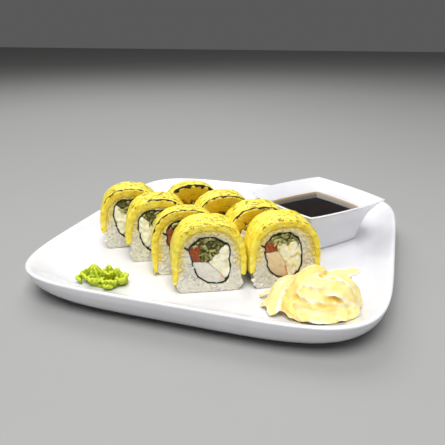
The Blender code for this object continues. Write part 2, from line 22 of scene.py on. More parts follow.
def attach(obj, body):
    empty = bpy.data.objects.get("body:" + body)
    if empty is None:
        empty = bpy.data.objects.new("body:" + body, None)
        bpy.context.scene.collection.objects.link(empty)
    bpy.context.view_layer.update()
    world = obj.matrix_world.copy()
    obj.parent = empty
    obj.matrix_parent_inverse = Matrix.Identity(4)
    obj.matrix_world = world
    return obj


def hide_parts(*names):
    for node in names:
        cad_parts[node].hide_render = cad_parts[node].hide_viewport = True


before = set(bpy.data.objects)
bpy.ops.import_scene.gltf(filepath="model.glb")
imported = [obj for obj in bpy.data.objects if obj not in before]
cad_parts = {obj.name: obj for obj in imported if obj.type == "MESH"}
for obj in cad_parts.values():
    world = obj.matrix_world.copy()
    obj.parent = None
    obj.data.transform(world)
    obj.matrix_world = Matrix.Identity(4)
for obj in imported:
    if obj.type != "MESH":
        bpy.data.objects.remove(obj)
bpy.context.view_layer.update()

MM = 0.001
GAP = 0.3 * MM
PLATE_FLOOR = 10 * MM
TABLE_BASE = PLATE_FLOOR + GAP

TURN = 2 * math.pi

Points = np.ndarray
Piece = bpy.types.Object
Tree = bpy.types.NodeTree
Node = bpy.types.Node
Socket = bpy.types.NodeSocket

log = logging.getLogger("uramaki platter")


# Colours and node trees


def linear(hex_colour: str) -> tuple[float, float, float, float]:
    """Turn an sRGB hex colour into Blender's linear one.

    Args:
        hex_colour: the colour as #RRGGBB.

    Returns:
        Red, green and blue, linear, and an alpha of 1.
    """
    values = [int(hex_colour[i : i + 2], 16) / 255 for i in (1, 3, 5)]
    bent = [v / 12.92 if v <= 0.04045 else ((v + 0.055) / 1.055) ** 2.4 for v in values]
    return (bent[0], bent[1], bent[2], 1.0)


def add_node(tree: Tree, kind: str, inputs: dict[Any, Any] | None = None, **settings: Any) -> Node:
    """Add a node to a tree, with its settings and its links.

    Args:
        tree: the material's node tree.
        kind: Blender's name of the node's type.
        inputs: a value, or the socket to link, for each input's name or number.
        settings: the node's own properties.

    Returns:
        The new node.
    """
    node = tree.nodes.new(kind)
    for name, value in settings.items():
        setattr(node, name, value)
    for key, value in (inputs or {}).items():
        if isinstance(value, Socket):
            tree.links.new(value, node.inputs[key])
        else:
            node.inputs[key].default_value = value
    return node


class MixSocket(Enum):
    """Numbers of the colour mix node's sockets, which share their names."""

    FACTOR = 0
    FIRST = 6
    SECOND = 7
    RESULT = 2


def mixed(tree: Tree, factor: Any, first: Any, second: Any) -> Socket:
    """Lay one colour over another.

    Args:
        tree: the node tree.
        factor: how much of the second shows, a number or a socket.
        first: the colour below, as a socket or #RRGGBB.
        second: the colour above.

    Returns:
        The socket with the resulting colour.
    """
    below, above = (linear(colour) if isinstance(colour, str) else colour for colour in (first, second))
    inputs = {MixSocket.FACTOR.value: factor, MixSocket.FIRST.value: below, MixSocket.SECOND.value: above}
    node = add_node(tree, "ShaderNodeMix", inputs, data_type="RGBA")
    return node.outputs[MixSocket.RESULT.value]


@dataclass(frozen=True)
class Patches:
    """Noise of a real size, which says how much of a tone or height there is at each place.

    size is that of one patch in metres. low and high are the noise's values that become 0 and 1, and
    detail is how many finer layers it has. along names the mesh's mark whose three values it follows:
    without one it follows the place on the object.
    """

    size: float
    low: float = 0.3
    high: float = 0.7
    detail: float = 2.0
    along: str = ""

    def socket(self, tree: Tree) -> Socket:
        """Add the noise to a tree and return its socket, from 0 to 1."""
        if self.along:
            where = add_node(tree, "ShaderNodeAttribute", attribute_name=self.along).outputs["Vector"]
        else:
            where = add_node(tree, "ShaderNodeTexCoord").outputs["Object"]
        inputs = {"Vector": where, "Scale": 1 / self.size, "Detail": self.detail}
        noise = add_node(tree, "ShaderNodeTexNoise", inputs).outputs["Fac"]
        inputs = {"Value": noise, "From Min": self.low, "From Max": self.high}
        return add_node(tree, "ShaderNodeMapRange", inputs, interpolation_type="SMOOTHSTEP").outputs["Result"]


@dataclass(frozen=True)
class Mark:
    """A value that the mesh itself holds at each point, under a name."""

    name: str

    def socket(self, tree: Tree) -> Socket:
        """Add the value to a tree and return its socket."""
        return add_node(tree, "ShaderNodeAttribute", attribute_name=self.name).outputs["Fac"]


@dataclass(frozen=True)
class Relief:
    """Fine unevenness: its patches, its depth in metres and how strongly it shows."""

    patches: Patches
    deep: float
    strength: float = 1.0

    def add(self, tree: Tree, shader: Node) -> None:
        """Give the shader this relief as a bump."""
        inputs = {"Height": self.patches.socket(tree), "Distance": self.deep, "Strength": self.strength}
        bump = add_node(tree, "ShaderNodeBump", inputs)
        tree.links.new(bump.outputs["Normal"], shader.inputs["Normal"])


@dataclass(frozen=True)
class Surface:
    """How a material takes light, the same all over.

    specular is the strength of its highlights and coat that of a clear layer over it. under is how
    much light goes in, spread how far red, green and blue travel there, as parts of deep in metres.
    """

    roughness: float
    ior: float = 1.5
    specular: float = 0.5
    coat: float = 0.0
    under: float = 0.0
    spread: tuple = (1.0, 1.0, 1.0)
    deep: float = 1.0 * MM

    def fill_in(self, shader: Node) -> None:
        """Set the shader's sockets."""
        values = {
            "Roughness": self.roughness,
            "IOR": self.ior,
            "Specular IOR Level": self.specular,
            "Coat Weight": self.coat,
            "Coat Roughness": 0.04,
            "Subsurface Weight": self.under,
            "Subsurface Radius": self.spread,
            "Subsurface Scale": self.deep,
        }
        for name, value in values.items():
            shader.inputs[name].default_value = value


# Finishes


@dataclass(frozen=True)
class Finish:
    """A surface finish, which makes its Blender material once.

    tones are its two colours, and between says how much of the second shows. over lists what is laid
    over them in turn: how much of it, and its colour.
    """

    tones: tuple
    between: Patches | Mark
    surface: Surface
    over: tuple = ()
    relief: Relief | None = None

    def material(self) -> bpy.types.Material:
        """Return the Blender material of this finish, made on first use."""
        title = type(self).__name__
        found = bpy.data.materials.get(title)
        if found:
            return found
        made = bpy.data.materials.new(title)
        made.use_nodes = True
        tree, shader = made.node_tree, made.node_tree.nodes["Principled BSDF"]
        tree.links.new(self.colour(tree, shader), shader.inputs["Base Color"])
        if self.relief:
            self.relief.add(tree, shader)
        self.surface.fill_in(shader)
        return made

    def colour(self, tree: Tree, shader: Node) -> Socket:
        """Lay the finish's colours over each other.

        Args:
            tree: the material's node tree.
            shader: its Principled BSDF node; not used here.

        Returns:
            The socket with the colour.
        """
        colour = mixed(tree, self.between.socket(tree), *self.tones)
        for amount, tone in self.over:
            colour = mixed(tree, amount.socket(tree), colour, tone)
        return colour


@dataclass(frozen=True)
class GlazedPorcelain(Finish):
    """White glazed porcelain: a clean bright white under a clear gloss, barely uneven in tone.

    Its glaze waves faintly, and a few dark specks are fired into it.
    """

    tones: tuple = ("#EEEEF1", "#E8E8ED")
    between: Patches = Patches(30 * MM)
    over: tuple = ((Mark("speck"), "#3A3834"),)
    relief: Relief = Relief(Patches(9 * MM, 0.2, 0.8, 0.0), 0.05 * MM)
    surface: Surface = Surface(0.16, 1.52, coat=0.3)


@dataclass(frozen=True)
class SoySauceLiquid(Finish):
    """Soy sauce: a black brown mirror, with an amber line where it thins at the wall."""

    tones: tuple = ("#120C0A", "#1C120E")
    between: Patches = Patches(6 * MM)
    over: tuple = ((Mark("thin"), "#6E5200"), (Mark("rim"), "#8A6A00"))
    surface: Surface = Surface(0.04, 1.38)


@dataclass(frozen=True)
class WasabiPaste(Finish):
    """Wasabi paste: stiff lime green and dull, with a painted highlight on its lips and painted shade in its
    folds and at its foot.

    The grain of ground root is drawn coarser than it is, as it would be too fine to show.
    """

    tones: tuple = ("#B4C424", "#A6B61C")
    between: Patches = Patches(1.2 * MM, 0.35)
    # The pale lip colour is a painted highlight on the ridges. The dark green fold colour is painted shade in
    # the hollows and near the plate.
    over: tuple = ((Mark("lip"), "#D2DE3E"), (Mark("fold"), "#74840E"))
    relief: Relief = Relief(Patches(0.5 * MM), 0.10 * MM, 0.6)
    surface: Surface = Surface(0.5, 1.42, under=0.25, spread=(1.0, 1.0, 0.2), deep=1.2 * MM)


@dataclass(frozen=True)
class PickledGingerFlesh(Finish):
    """Pickled ginger: thin wet slices, pale yellow, nearly white at the edges, with golden painted shade in
    the folds.

    Fibres run along each slice. They are drawn coarser than real ones, which would be too fine to show.
    """

    tones: tuple = ("#FFF3B6", "#FFEC9C")
    between: Patches = Patches(1.0 * MM, detail=3.0, along="fibre")
    over: tuple = (
        (Mark("edge"), "#FFFFF2"),
        (Patches(9 * MM, 0.5, 0.75), "#FCE08A"),
        # The golden fold colour is painted shade: in the hollows, on the core and on each slice by its gold.
        (Mark("fold"), "#F2C852"),
    )
    relief: Relief = Relief(Patches(1.0 * MM, detail=3.0, along="fibre"), 0.08 * MM, 0.5)
    surface: Surface = Surface(0.26, 1.36, under=0.3, spread=(1.0, 1.0, 0.8), deep=1.0 * MM)


@dataclass(frozen=True)
class TorchedCheese(Finish):
    """Processed cheese under a torch: bright yellow, softly glossy, wrinkled, freckled and charred.

    Toasted parts are ochre, and small olive freckles lie along the arch. The flame's char has a
    ragged edge, and goes from brown to a black that is dull.
    """

    # The lighter yellow is a painted highlight, laid in random patches 3.5 mm wide.
    tones: tuple = ("#FCE33C", "#FFF26E")
    between: Patches = Patches(3.5 * MM, 0.35, 0.65)
    over: tuple = ((Mark("toast"), "#CDA410"),)
    relief: Relief = Relief(Patches(1.6 * MM, 0.25, 0.75, 3.0, "skin"), 0.22 * MM, 0.7)
    surface: Surface = Surface(0.36, 1.42, under=0.25, spread=(1.0, 0.9, 0.2), deep=1.2 * MM)
    freckles: Patches = Patches(1.5 * MM, 0.60, 0.68, 1.0, "skin")
    ragged: Patches = Patches(0.7 * MM)
    freckle: str = "#8C6C10"
    brown: str = "#684008"
    black: str = "#1E1608"
    browned_at: tuple = (0.25, 0.5)
    burnt_at: tuple = (0.55, 0.85)
    burnt_roughness: float = 0.8

    def colour(self, tree: Tree, shader: Node) -> Socket:
        """Lay freckles and char over the toasted yellow, and dull the shader where it is burnt.

        Args:
            tree: the material's node tree.
            shader: its Principled BSDF node.

        Returns:
            The socket with the colour.
        """
        toasted = super().colour(tree, shader)
        inputs = {0: self.freckles.socket(tree), 1: Mark("spots").socket(tree)}
        freckles = add_node(tree, "ShaderNodeMath", inputs, operation="MULTIPLY").outputs[0]
        freckled = mixed(tree, freckles, toasted, self.freckle)
        inputs = {0: self.ragged.socket(tree), 1: 0.5, 2: -0.25}
        ragged = add_node(tree, "ShaderNodeMath", inputs, operation="MULTIPLY_ADD").outputs[0]
        inputs = {0: Mark("char").socket(tree), 1: ragged}
        char = add_node(tree, "ShaderNodeMath", inputs, operation="ADD").outputs[0]
        rises = []
        for low, high in (self.browned_at, self.burnt_at):
            inputs = {"Value": char, "From Min": low, "From Max": high}
            rises.append(add_node(tree, "ShaderNodeMapRange", inputs).outputs["Result"])
        browned, burnt = rises
        inputs = {"Value": burnt, "To Min": self.surface.roughness, "To Max": self.burnt_roughness}
        dull = add_node(tree, "ShaderNodeMapRange", inputs).outputs["Result"]
        tree.links.new(dull, shader.inputs["Roughness"])
        return mixed(tree, burnt, mixed(tree, browned, freckled, self.brown), self.black)


@dataclass(frozen=True)
class CookedRice(Finish):
    """Cooked short-grain rice: moist, warm white and slightly clear, each grain a little different.

    It has painted shade, a creamier tone, between the grains, a few grey-green specks, and is yellow by the
    cheese.
    """

    tones: tuple = ("#F8F4E2", "#F6F0D6")
    between: Mark = Mark("grain")
    over: tuple = (
        # The deep colour is painted shade on the core that shows between the grains.
        (Mark("deep"), "#F5EDCE"),
        (Patches(1.1 * MM, 0.74, 0.80, 1.0), "#8C8A52"),
        (Mark("stain"), "#FFE052"),
    )
    relief: Relief = Relief(Patches(0.9 * MM), 0.06 * MM, 0.4)
    surface: Surface = Surface(0.42, 1.4, under=0.4, spread=(1.0, 0.95, 0.75), deep=2.0 * MM)


@dataclass(frozen=True)
class SeaweedSheet(Finish):
    """Nori: a nearly black sheet of pressed seaweed, with fibres of a lighter grey green.

    The fibres are drawn coarser than real ones, which would be too fine to show.
    """

    tones: tuple = ("#171B16", "#2C3328")
    between: Patches = Patches(1.0 * MM, 0.35)
    relief: Relief = Relief(Patches(0.6 * MM), 0.10 * MM)
    surface: Surface = Surface(0.45, 1.45)


@dataclass(frozen=True)
class ShreddedCucumber(Finish):
    """Shredded cucumber: wet pale olive flesh and some strands with darker skin, with painted shade in its
    deep gaps.
    """

    tones: tuple = ("#B9B26C", "#CCC888")
    between: Patches = Patches(0.8 * MM)
    # The dark gap colour is painted shade on the core and on the shreds that lie deeper.
    over: tuple = ((Mark("skin"), "#7C7C3A"), (Mark("gap"), "#4C4A1E"))
    relief: Relief = Relief(Patches(0.5 * MM), 0.06 * MM, 0.6)
    surface: Surface = Surface(0.28, 1.36, under=0.2, spread=(0.8, 1.0, 0.4), deep=1.0 * MM)


@dataclass(frozen=True)
class CuredSalmon(Finish):
    """Salmon: orange brown flesh with a darker grain, and paler bands of fat that bend."""

    tones: tuple = ("#A25022", "#883A12")
    between: Patches = Patches(1.5 * MM)
    over: tuple = ((Mark("fat"), "#BC7642"),)
    relief: Relief = Relief(Patches(0.7 * MM), 0.08 * MM, 0.7)
    surface: Surface = Surface(0.36, 1.4, under=0.25, spread=(0.8, 0.45, 0.3), deep=0.8 * MM)


@dataclass(frozen=True)
class CrabStick(Finish):
    """Crab stick: smooth pressed fish paste, pale grey, with an orange skin along one edge.

    It has faint greyer layers, and is tan in some slices.
    """

    tones: tuple = ("#E6E2D4", "#DCD8C9")
    between: Patches = Patches(2.2 * MM, 0.35)
    over: tuple = ((Mark("tan"), "#E8D0A4"), (Mark("layer"), "#C2B8A8"), (Mark("skin"), "#E07A48"))
    relief: Relief = Relief(Patches(0.9 * MM), 0.04 * MM, 0.5)
    surface: Surface = Surface(0.4, 1.42, under=0.35, spread=(1.0, 0.8, 0.7), deep=1.8 * MM)


@dataclass(frozen=True)
class CreamCheese(Finish):
    """Cream cheese: soft, thick and ivory, yellower in patches, with the knife's soft marks."""

    tones: tuple = ("#FBF7DE", "#F6F0CC")
    between: Patches = Patches(2.5 * MM, 0.35)
    over: tuple = ((Mark("yellow"), "#F0E496"),)
    relief: Relief = Relief(Patches(1.2 * MM), 0.12 * MM, 0.7)
    surface: Surface = Surface(0.45, 1.42, under=0.35, spread=(1.0, 0.95, 0.7), deep=1.8 * MM)


@dataclass(frozen=True)
class StudioPaper(Finish):
    """Background paper: an even pale surface without gloss, with a tone that hardly changes."""

    tones: tuple = ("#A4A4A3", "#A2A2A1")
    between: Patches = Patches(0.4, detail=0.0)
    surface: Surface = Surface(0.9, specular=0.2)


# Shapes


class SmoothField:
    """A smooth random field: a sum of seeded cosine waves of about one wavelength."""

    def __init__(self, seed: int, wavelength: float, waves: int = 20, axes: int = 3) -> None:
        """Draw the waves.

        Args:
            seed: the seed of the random draws.
            wavelength: the usual length of a wave in metres.
            waves: how many waves are added up.
            axes: how many coordinates a point has.
        """
        draw = np.random.default_rng(seed)
        ways = draw.normal(size=(waves, axes))
        ways /= np.linalg.norm(ways, axis=1, keepdims=True)
        self.ways = ways * (TURN / wavelength * draw.uniform(0.6, 1.5, (waves, 1)))
        self.phases = draw.uniform(0, TURN, waves)
        self.size = math.sqrt(2 / waves)

    def __call__(self, points: Points) -> np.ndarray:
        """Values at the points, mostly between -2 and 2."""
        return np.cos(points @ self.ways.T + self.phases).sum(axis=-1) * self.size


def smoothstep(low: float, high: float, value: np.ndarray) -> np.ndarray:
    """Rise smoothly from 0 at low to 1 at high."""
    part = np.clip((value - low) / (high - low), 0.0, 1.0)
    return part * part * (3 - 2 * part)


def circle(count: int) -> np.ndarray:
    """Directions evenly round a circle, in radians."""
    return np.linspace(0, TURN, count, endpoint=False)


def tube_faces(rows: int, columns: int, closed: bool) -> list:
    """Faces of a body whose rows of points are rings.

    Args:
        rows: how many rows it has.
        columns: how many points a row has.
        closed: whether the last row joins the first. If not, a face closes each of them.

    Returns:
        A list of point numbers for each face.
    """
    row = np.arange(rows if closed else rows - 1)[:, None]
    column = np.arange(columns)[None, :]
    above, below, right = row * columns, (row + 1) % rows * columns, (column + 1) % columns
    corners = (above + column, above + right, below + right, below + column)
    faces = np.stack(corners, axis=-1).reshape(-1, 4).tolist()
    if not closed:
        faces.append(list(range(columns))[::-1])
        faces.append(list(range((rows - 1) * columns, rows * columns)))
    return faces


@dataclass
class Form:
    """Points, faces and marks of a mesh that is being put together."""

    points: list = field(default_factory=list)
    faces: list = field(default_factory=list)
    marks: dict = field(default_factory=dict)
    count: int = 0

    def add(self, points: Points, faces: list, **marks: Any) -> "Form":
        """Add a closed body.

        Args:
            points: its points, one row each.
            faces: its faces, numbered from its own first point.
            marks: named values, one number or one for each point.

        Returns:
            The form itself.
        """
        points = np.asarray(points, float).reshape(-1, 3)
        for name in set(self.marks) | set(marks):
            wide = 3 if np.ndim(marks.get(name, 0.0)) == 2 or self._is_wide(name) else 1
            have = self.marks.setdefault(name, [np.zeros((self.count, wide))])
            value = np.asarray(marks.get(name, 0.0), float)
            value = value.reshape(-1, wide) if value.ndim else np.full((1, wide), float(value))
            have.append(np.broadcast_to(value, (len(points), wide)))
        self.faces += [[index + self.count for index in face] for face in faces]
        self.points.append(points)
        self.count += len(points)
        return self

    def _is_wide(self, name: str) -> bool:
        """Whether the mark holds three values a point."""
        return name in self.marks and self.marks[name][0].shape[1] == 3

    def sheet(self, rows: Points, closed: bool = False, **marks: Any) -> "Form":
        """Add a body lofted through rings of points.

        Args:
            rows: the points, as rows by columns by 3.
            closed: whether the last row joins the first.
            marks: as in add, one value for each point.

        Returns:
            The form itself.
        """
        flat = {name: self._flat(value) for name, value in marks.items()}
        return self.add(rows.reshape(-1, 3), tube_faces(*rows.shape[:2], closed), **flat)

    @staticmethod
    def _flat(value: Any) -> Any:
        """A mark of the grid as one row a point."""
        value = np.asarray(value, float)
        if value.ndim == 3:
            return value.reshape(-1, 3)
        return value.reshape(-1) if value.ndim else value

    def make(
        self, name: str, finish: Finish, slot: str, nodes: Sequence[str], sharp: float = 180.0
    ) -> None:
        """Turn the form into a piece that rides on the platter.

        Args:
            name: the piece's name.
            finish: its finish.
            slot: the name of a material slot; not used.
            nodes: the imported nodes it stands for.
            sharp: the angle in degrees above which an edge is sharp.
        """
        mesh = bpy.data.meshes.new(name)
        mesh.from_pydata(np.concatenate(self.points).tolist(), [], self.faces)
        for mark, values in self.marks.items():
            table = np.concatenate(values)
            kind, key = ("FLOAT", "value") if table.shape[1] == 1 else ("FLOAT_VECTOR", "vector")
            mesh.attributes.new(mark, kind, "POINT").data.foreach_set(key, table.astype(np.float32).ravel())
        mesh.shade_smooth()
        if sharp < 180.0:
            mesh.set_sharp_from_angle(angle=math.radians(sharp))
        mesh.materials.append(finish.material())
        piece = bpy.data.objects.new(name, mesh)
        bpy.context.scene.collection.objects.link(piece)
        settle(piece, nodes)


def settle(piece: Piece, nodes: Sequence[str]) -> None:
    """Fix a piece to the platter and say what it stands for.

    Args:
        piece: the finished object.
        nodes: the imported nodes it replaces.
    """
    outward(piece)
    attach(piece, "root")
    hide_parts(*nodes)
    log.info("%s: %d faces, stands for %s", piece.name, len(piece.data.polygons), ", ".join(nodes))


def outward(piece: Piece) -> None:
    """Turn all faces of the piece's closed bodies outwards."""
    bm = bmesh.new()
    bm.from_mesh(piece.data)
    bmesh.ops.recalc_face_normals(bm, faces=bm.faces)
    bm.to_mesh(piece.data)
    bm.free()


def rounded(corners: Sequence[tuple[float, float]], times: int = 3) -> Points:
    """Cut the corners of an open line again and again, so that it becomes a soft curve.

    Args:
        corners: the line's corners.
        times: how often the corners are cut.

    Returns:
        The curve's points, which keep both ends.
    """
    line = np.asarray(corners, float)
    for _ in range(times):
        first, second = line[:-1], line[1:]
        cut = np.stack([0.75 * first + 0.25 * second, 0.25 * first + 0.75 * second], axis=1)
        line = np.concatenate([line[:1], cut.reshape(-1, line.shape[1])[1:-1], line[-1:]])
    return line


def squared_rows(profile: Points, exponent: Any, around: int, turn: float, middle: tuple) -> Points:
    """Rows of points round a superellipse, one row for each reach and height of a profile.

    Args:
        profile: reach and height of each row.
        exponent: square with round corners above 2, a diamond near 1; one for all rows or one a row.
        around: how many points a row has.
        turn: the angle in radians by which it is turned.
        middle: x and y of its middle.

    Returns:
        The points, as rows by columns by 3.
    """
    angle = TURN * np.arange(around) / around
    c, s = np.cos(angle), np.sin(angle)
    power = 2 / np.broadcast_to(np.asarray(exponent, float), len(profile))[:, None]
    x = np.sign(c) * np.abs(c) ** power
    y = np.sign(s) * np.abs(s) ** power
    cos, sin = math.cos(turn), math.sin(turn)
    rings = np.stack([x * cos - y * sin, x * sin + y * cos], axis=-1)
    flat = rings * profile[:, 0, None, None] + np.asarray(middle)
    high = np.broadcast_to(profile[:, 1, None, None], flat.shape[:2] + (1,))
    return np.concatenate([flat, high], axis=-1)


# Plate, dish and sauce


@dataclass(frozen=True)
class SquarePlate:
    """The square plate with rounded corners, a turned-up rim and a foot ring.

    speck_places holds x, z and size of the dark specks on its near outer wall. squareness is the
    power of the outline's superellipse.
    """

    half: float = 105 * MM
    high: float = 19 * MM
    floor: float = PLATE_FLOOR
    thick: float = 6.4 * MM
    floor_half: float = 86 * MM
    foot_half: float = 90 * MM
    foot_wide: float = 5 * MM
    squareness: float = 5.7
    foot_squareness: float = 4.6
    around: int = 208
    speck_places: tuple = ((-27.4 * MM, 15.0 * MM, 0.55 * MM), (6.7 * MM, 15.0 * MM, 0.75 * MM))

    def outer_line(self) -> list[tuple[float, float]]:
        """Corners of the profile from under the middle, past the foot, to the lip's outside."""
        under = self.floor - self.thick
        foot_in = self.foot_half - self.foot_wide
        return [
            (0.5 * MM, under),
            (foot_in - 4 * MM, under),
            (foot_in - 1 * MM, 0.6 * MM),
            (foot_in, 0.0),
            (self.foot_half, 0.0),
            (self.foot_half + 1.6 * MM, 0.5 * MM),
            (self.half - 10.4 * MM, 2.2 * MM),
            (self.half - 6 * MM, 4.8 * MM),
            (self.half - 2.4 * MM, 8.8 * MM),
            (self.half - 0.6 * MM, self.high - 5.5 * MM),
            (self.half - 0.1 * MM, self.high - 2.2 * MM),
            (self.half, self.high - 0.6 * MM),
        ]

    def inner_line(self) -> list[tuple[float, float]]:
        """Corners of the profile from the lip's outside, over the lip, to the floor's middle."""
        return [
            (self.half, self.high - 0.6 * MM),
            (self.half - 1.0 * MM, self.high),
            (self.half - 2.6 * MM, self.high - 0.5 * MM),
            (self.half - 7 * MM, self.floor + 5.2 * MM),
            (self.half - 12 * MM, self.floor + 1.8 * MM),
            (self.half - 16 * MM, self.floor + 0.4 * MM),
            (self.floor_half, self.floor),
            (self.floor_half - 12 * MM, self.floor),
            (0.5 * MM, self.floor),
        ]

    def top_at(self, x: np.ndarray, y: np.ndarray) -> np.ndarray:
        """Height of the plate's upper side at each place."""
        power = self.squareness
        half = (np.abs(x) ** power + np.abs(y) ** power) ** (1 / power)
        line = rounded(self.inner_line())[::-1]
        return np.interp(half, line[:, 0], line[:, 1])

    def build(self) -> None:
        """Build the plate from its profile, with corners that are rounder at the foot."""
        outer, inner = rounded(self.outer_line()), rounded(self.inner_line())
        profile = np.concatenate([outer, inner[1:]])
        lower = self.foot_squareness + (self.squareness - self.foot_squareness) * outer[:, 1] / self.high
        exponent = np.concatenate([lower, np.full(len(inner) - 1, self.squareness)])
        rows = squared_rows(profile, exponent, self.around, 0.0, (0.0, 0.0))
        form = Form()
        form.sheet(rows, speck=self.specks(rows))
        form.make("plate_glazed", GlazedPorcelain(), "porcelain", ["plate"])

    def specks(self, rows: Points) -> np.ndarray:
        """Strength at each point of the two dark specks on the near outer wall."""
        total = np.zeros(rows.shape[:2])
        for x, z, wide in self.speck_places:
            away = np.hypot(rows[..., 0] - x, (rows[..., 2] - z) * 1.4)
            near = (rows[..., 1] < -0.9 * self.half) & (away < 3 * wide)
            total += np.where(near, 1 - smoothstep(0.6 * wide, 1.4 * wide, away), 0.0)
        return np.clip(total, 0, 1)


@dataclass(frozen=True)
class SauceDish:
    """The flared square dish, which stands with one corner near the plate's right edge.

    foot_reach, rim_reach and sauce_reach are the distances of a corner from the middle. squareness
    is the power of the outline's superellipse, near 1 for a diamond.
    """

    place: tuple = (50.7 * MM, 27.3 * MM)
    turn: float = math.radians(5.8)
    foot_reach: float = 28.8 * MM
    rim_reach: float = 45.7 * MM
    high: float = 28.7 * MM
    squareness: float = 1.12
    around: int = 184
    sauce_reach: float = 32.5 * MM
    sauce_below_rim: float = 8.0 * MM
    sauce_floor: float = 7.0 * MM

    @property
    def level(self) -> float:
        """Height of the sauce over the dish's foot."""
        return self.high - self.sauce_below_rim

    def outer_reach(self, height: np.ndarray) -> np.ndarray:
        """How far the outside's corner is from the middle at each height."""
        rise = height / self.high
        return self.foot_reach + (self.rim_reach - self.foot_reach) * (0.35 * rise + 0.65 * rise**3)

    def rows(self, profile: Sequence[tuple[float, float]]) -> Points:
        """Rows of points for reaches and heights over the dish's foot."""
        line = np.asarray(profile, float) + np.array([0.0, TABLE_BASE])
        return squared_rows(line, self.squareness, self.around, self.turn, self.place)

    def build(self) -> None:
        """Build the dish: up the outside, over the rim and down the inside."""
        heights = np.linspace(0.0, 0.97 * self.high, 24)
        outside = np.stack([self.outer_reach(heights), heights], axis=-1)
        level = self.level
        rim = rounded(
            [
                tuple(outside[-1]),
                (self.rim_reach, self.high - 0.4 * MM),
                (self.rim_reach - 0.3 * MM, self.high),
                (self.rim_reach - 2.0 * MM, self.high),
                (self.rim_reach - 2.6 * MM, self.high - 0.3 * MM),
                (self.sauce_reach + 5.0 * MM, level + 4.0 * MM),
                (self.sauce_reach + 0.9 * MM, level + 0.6 * MM),
                (self.sauce_reach + 0.2 * MM, level - 0.4 * MM),
                (self.sauce_reach - 5.3 * MM, self.sauce_floor + 3.6 * MM),
                (self.sauce_reach - 9.5 * MM, self.sauce_floor - 0.2 * MM),
                (0.5 * MM, self.sauce_floor - 0.2 * MM),
            ]
        )
        foot_in = self.foot_reach - 2.0 * MM
        foot = [(0.5 * MM, 0.8 * MM), (foot_in - 0.5 * MM, 0.8 * MM), (foot_in, 0.0)]
        line = np.concatenate([np.asarray(foot), outside, rim[1:]])
        form = Form().sheet(self.rows(line), speck=0.0)
        form.make("sauce_dish_glazed", GlazedPorcelain(), "dish_porcelain", ["sauce_dish"])


@dataclass(frozen=True)
class SoySauce:
    """The soy sauce in the dish, with the slight climb of its edge at the wall.

    rim and thin say how far from the wall its amber line and its thin part begin and end to fade.
    """

    dish: SauceDish
    climb: float = 0.05 * MM
    rim: tuple = (2.0 * MM, 3.6 * MM)
    thin: tuple = (2.3 * MM, 4.3 * MM)

    def build(self) -> None:
        """Build the sauce up to its level."""
        dish = self.dish
        reach, level = dish.sauce_reach, dish.level
        line = [
            (0.5 * MM, dish.sauce_floor),
            (reach - 10.0 * MM, dish.sauce_floor),
            (reach - 6.0 * MM, dish.sauce_floor + 4.0 * MM),
            (reach - 0.35 * MM, level - 0.6 * MM),
            (reach + 0.35 * MM, level + self.climb),
        ]
        on_wall = len(line) - 2
        for step in (0.3, 0.7, 1.1, 1.5, 2.0, 2.6, 3.3):
            line.append((reach - step * MM, level - self.climb * (1 - math.exp(-step))))
        line += [(reach * part, level - self.climb) for part in (0.7, 0.4, 0.15, 0.02)]
        inset = reach - np.asarray(line)[:, 0]
        marks = {}
        for name, (start, end) in {"rim": self.rim, "thin": self.thin}.items():
            near = np.where(np.arange(len(line)) >= on_wall, 1 - smoothstep(start, end, inset), 0.0)
            marks[name] = near[:, None] * np.ones(dish.around)
        form = Form().sheet(dish.rows(line), **marks)
        form.make("soy_sauce_liquid", SoySauceLiquid(), "soy_sauce", ["soy_sauce"])


# Slices of the roll


@dataclass(frozen=True)
class Torching:
    """How the flame has marked one slice's cheese.

    The dark line along the front's upper edge runs from start to end, in degrees round the arch from
    its right side. wide is its width and curtain how far cheese has run down the face, both in
    millimetres. dark, toast and spots are strengths from 0 to 1.
    """

    start: float
    end: float
    wide: float
    dark: float
    curtain: float
    toast: float
    spots: float


@dataclass(frozen=True)
class Fillings:
    """Where the fillings of one slice meet.

    cream, cucumber, salmon and crab are the directions in degrees, seen from the ring's middle, in
    which each of them begins at the seaweed. corner, meet, tongue and bulge are points where they
    touch inside the ring, in millimetres from its middle: the salmon's upper and lower inner corner,
    the tip of the cucumber or cream cheese between them, and a point on the crab stick's side to the
    cream cheese. skin and tan are strengths of the crab stick's colours. by_salmon says that the
    cream cheese lies against the salmon.
    """

    cream: float
    cucumber: float
    salmon: float
    crab: float
    corner: tuple
    meet: tuple
    tongue: tuple
    bulge: tuple
    skin: float
    tan: float
    by_salmon: bool = False


@dataclass(frozen=True)
class SliceSpec:
    """One slice: where it stands, its sizes in millimetres, and how it is filled and torched.

    x and y are the foot of its front's middle, and turn is in degrees. half is half its width, and
    its back is lower than its front by drop. left and right are the heights at which its cheese ends.
    ring_shift moves the seaweed ring sideways, and seam is the direction of its overlap in degrees.
    ring holds what is added to the ring's radius in twelve directions, from the slice's right round
    over its top. mirrored swaps the sides of its fillings, and joined says that its cucumber and
    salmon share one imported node.
    """

    name: str
    x: float
    y: float
    turn: float
    half: float
    length: float
    drop: float
    left: float
    right: float
    ring_shift: float
    seam: float
    ring: tuple
    fillings: Fillings
    torching: Torching
    mirrored: bool = False
    joined: bool = False


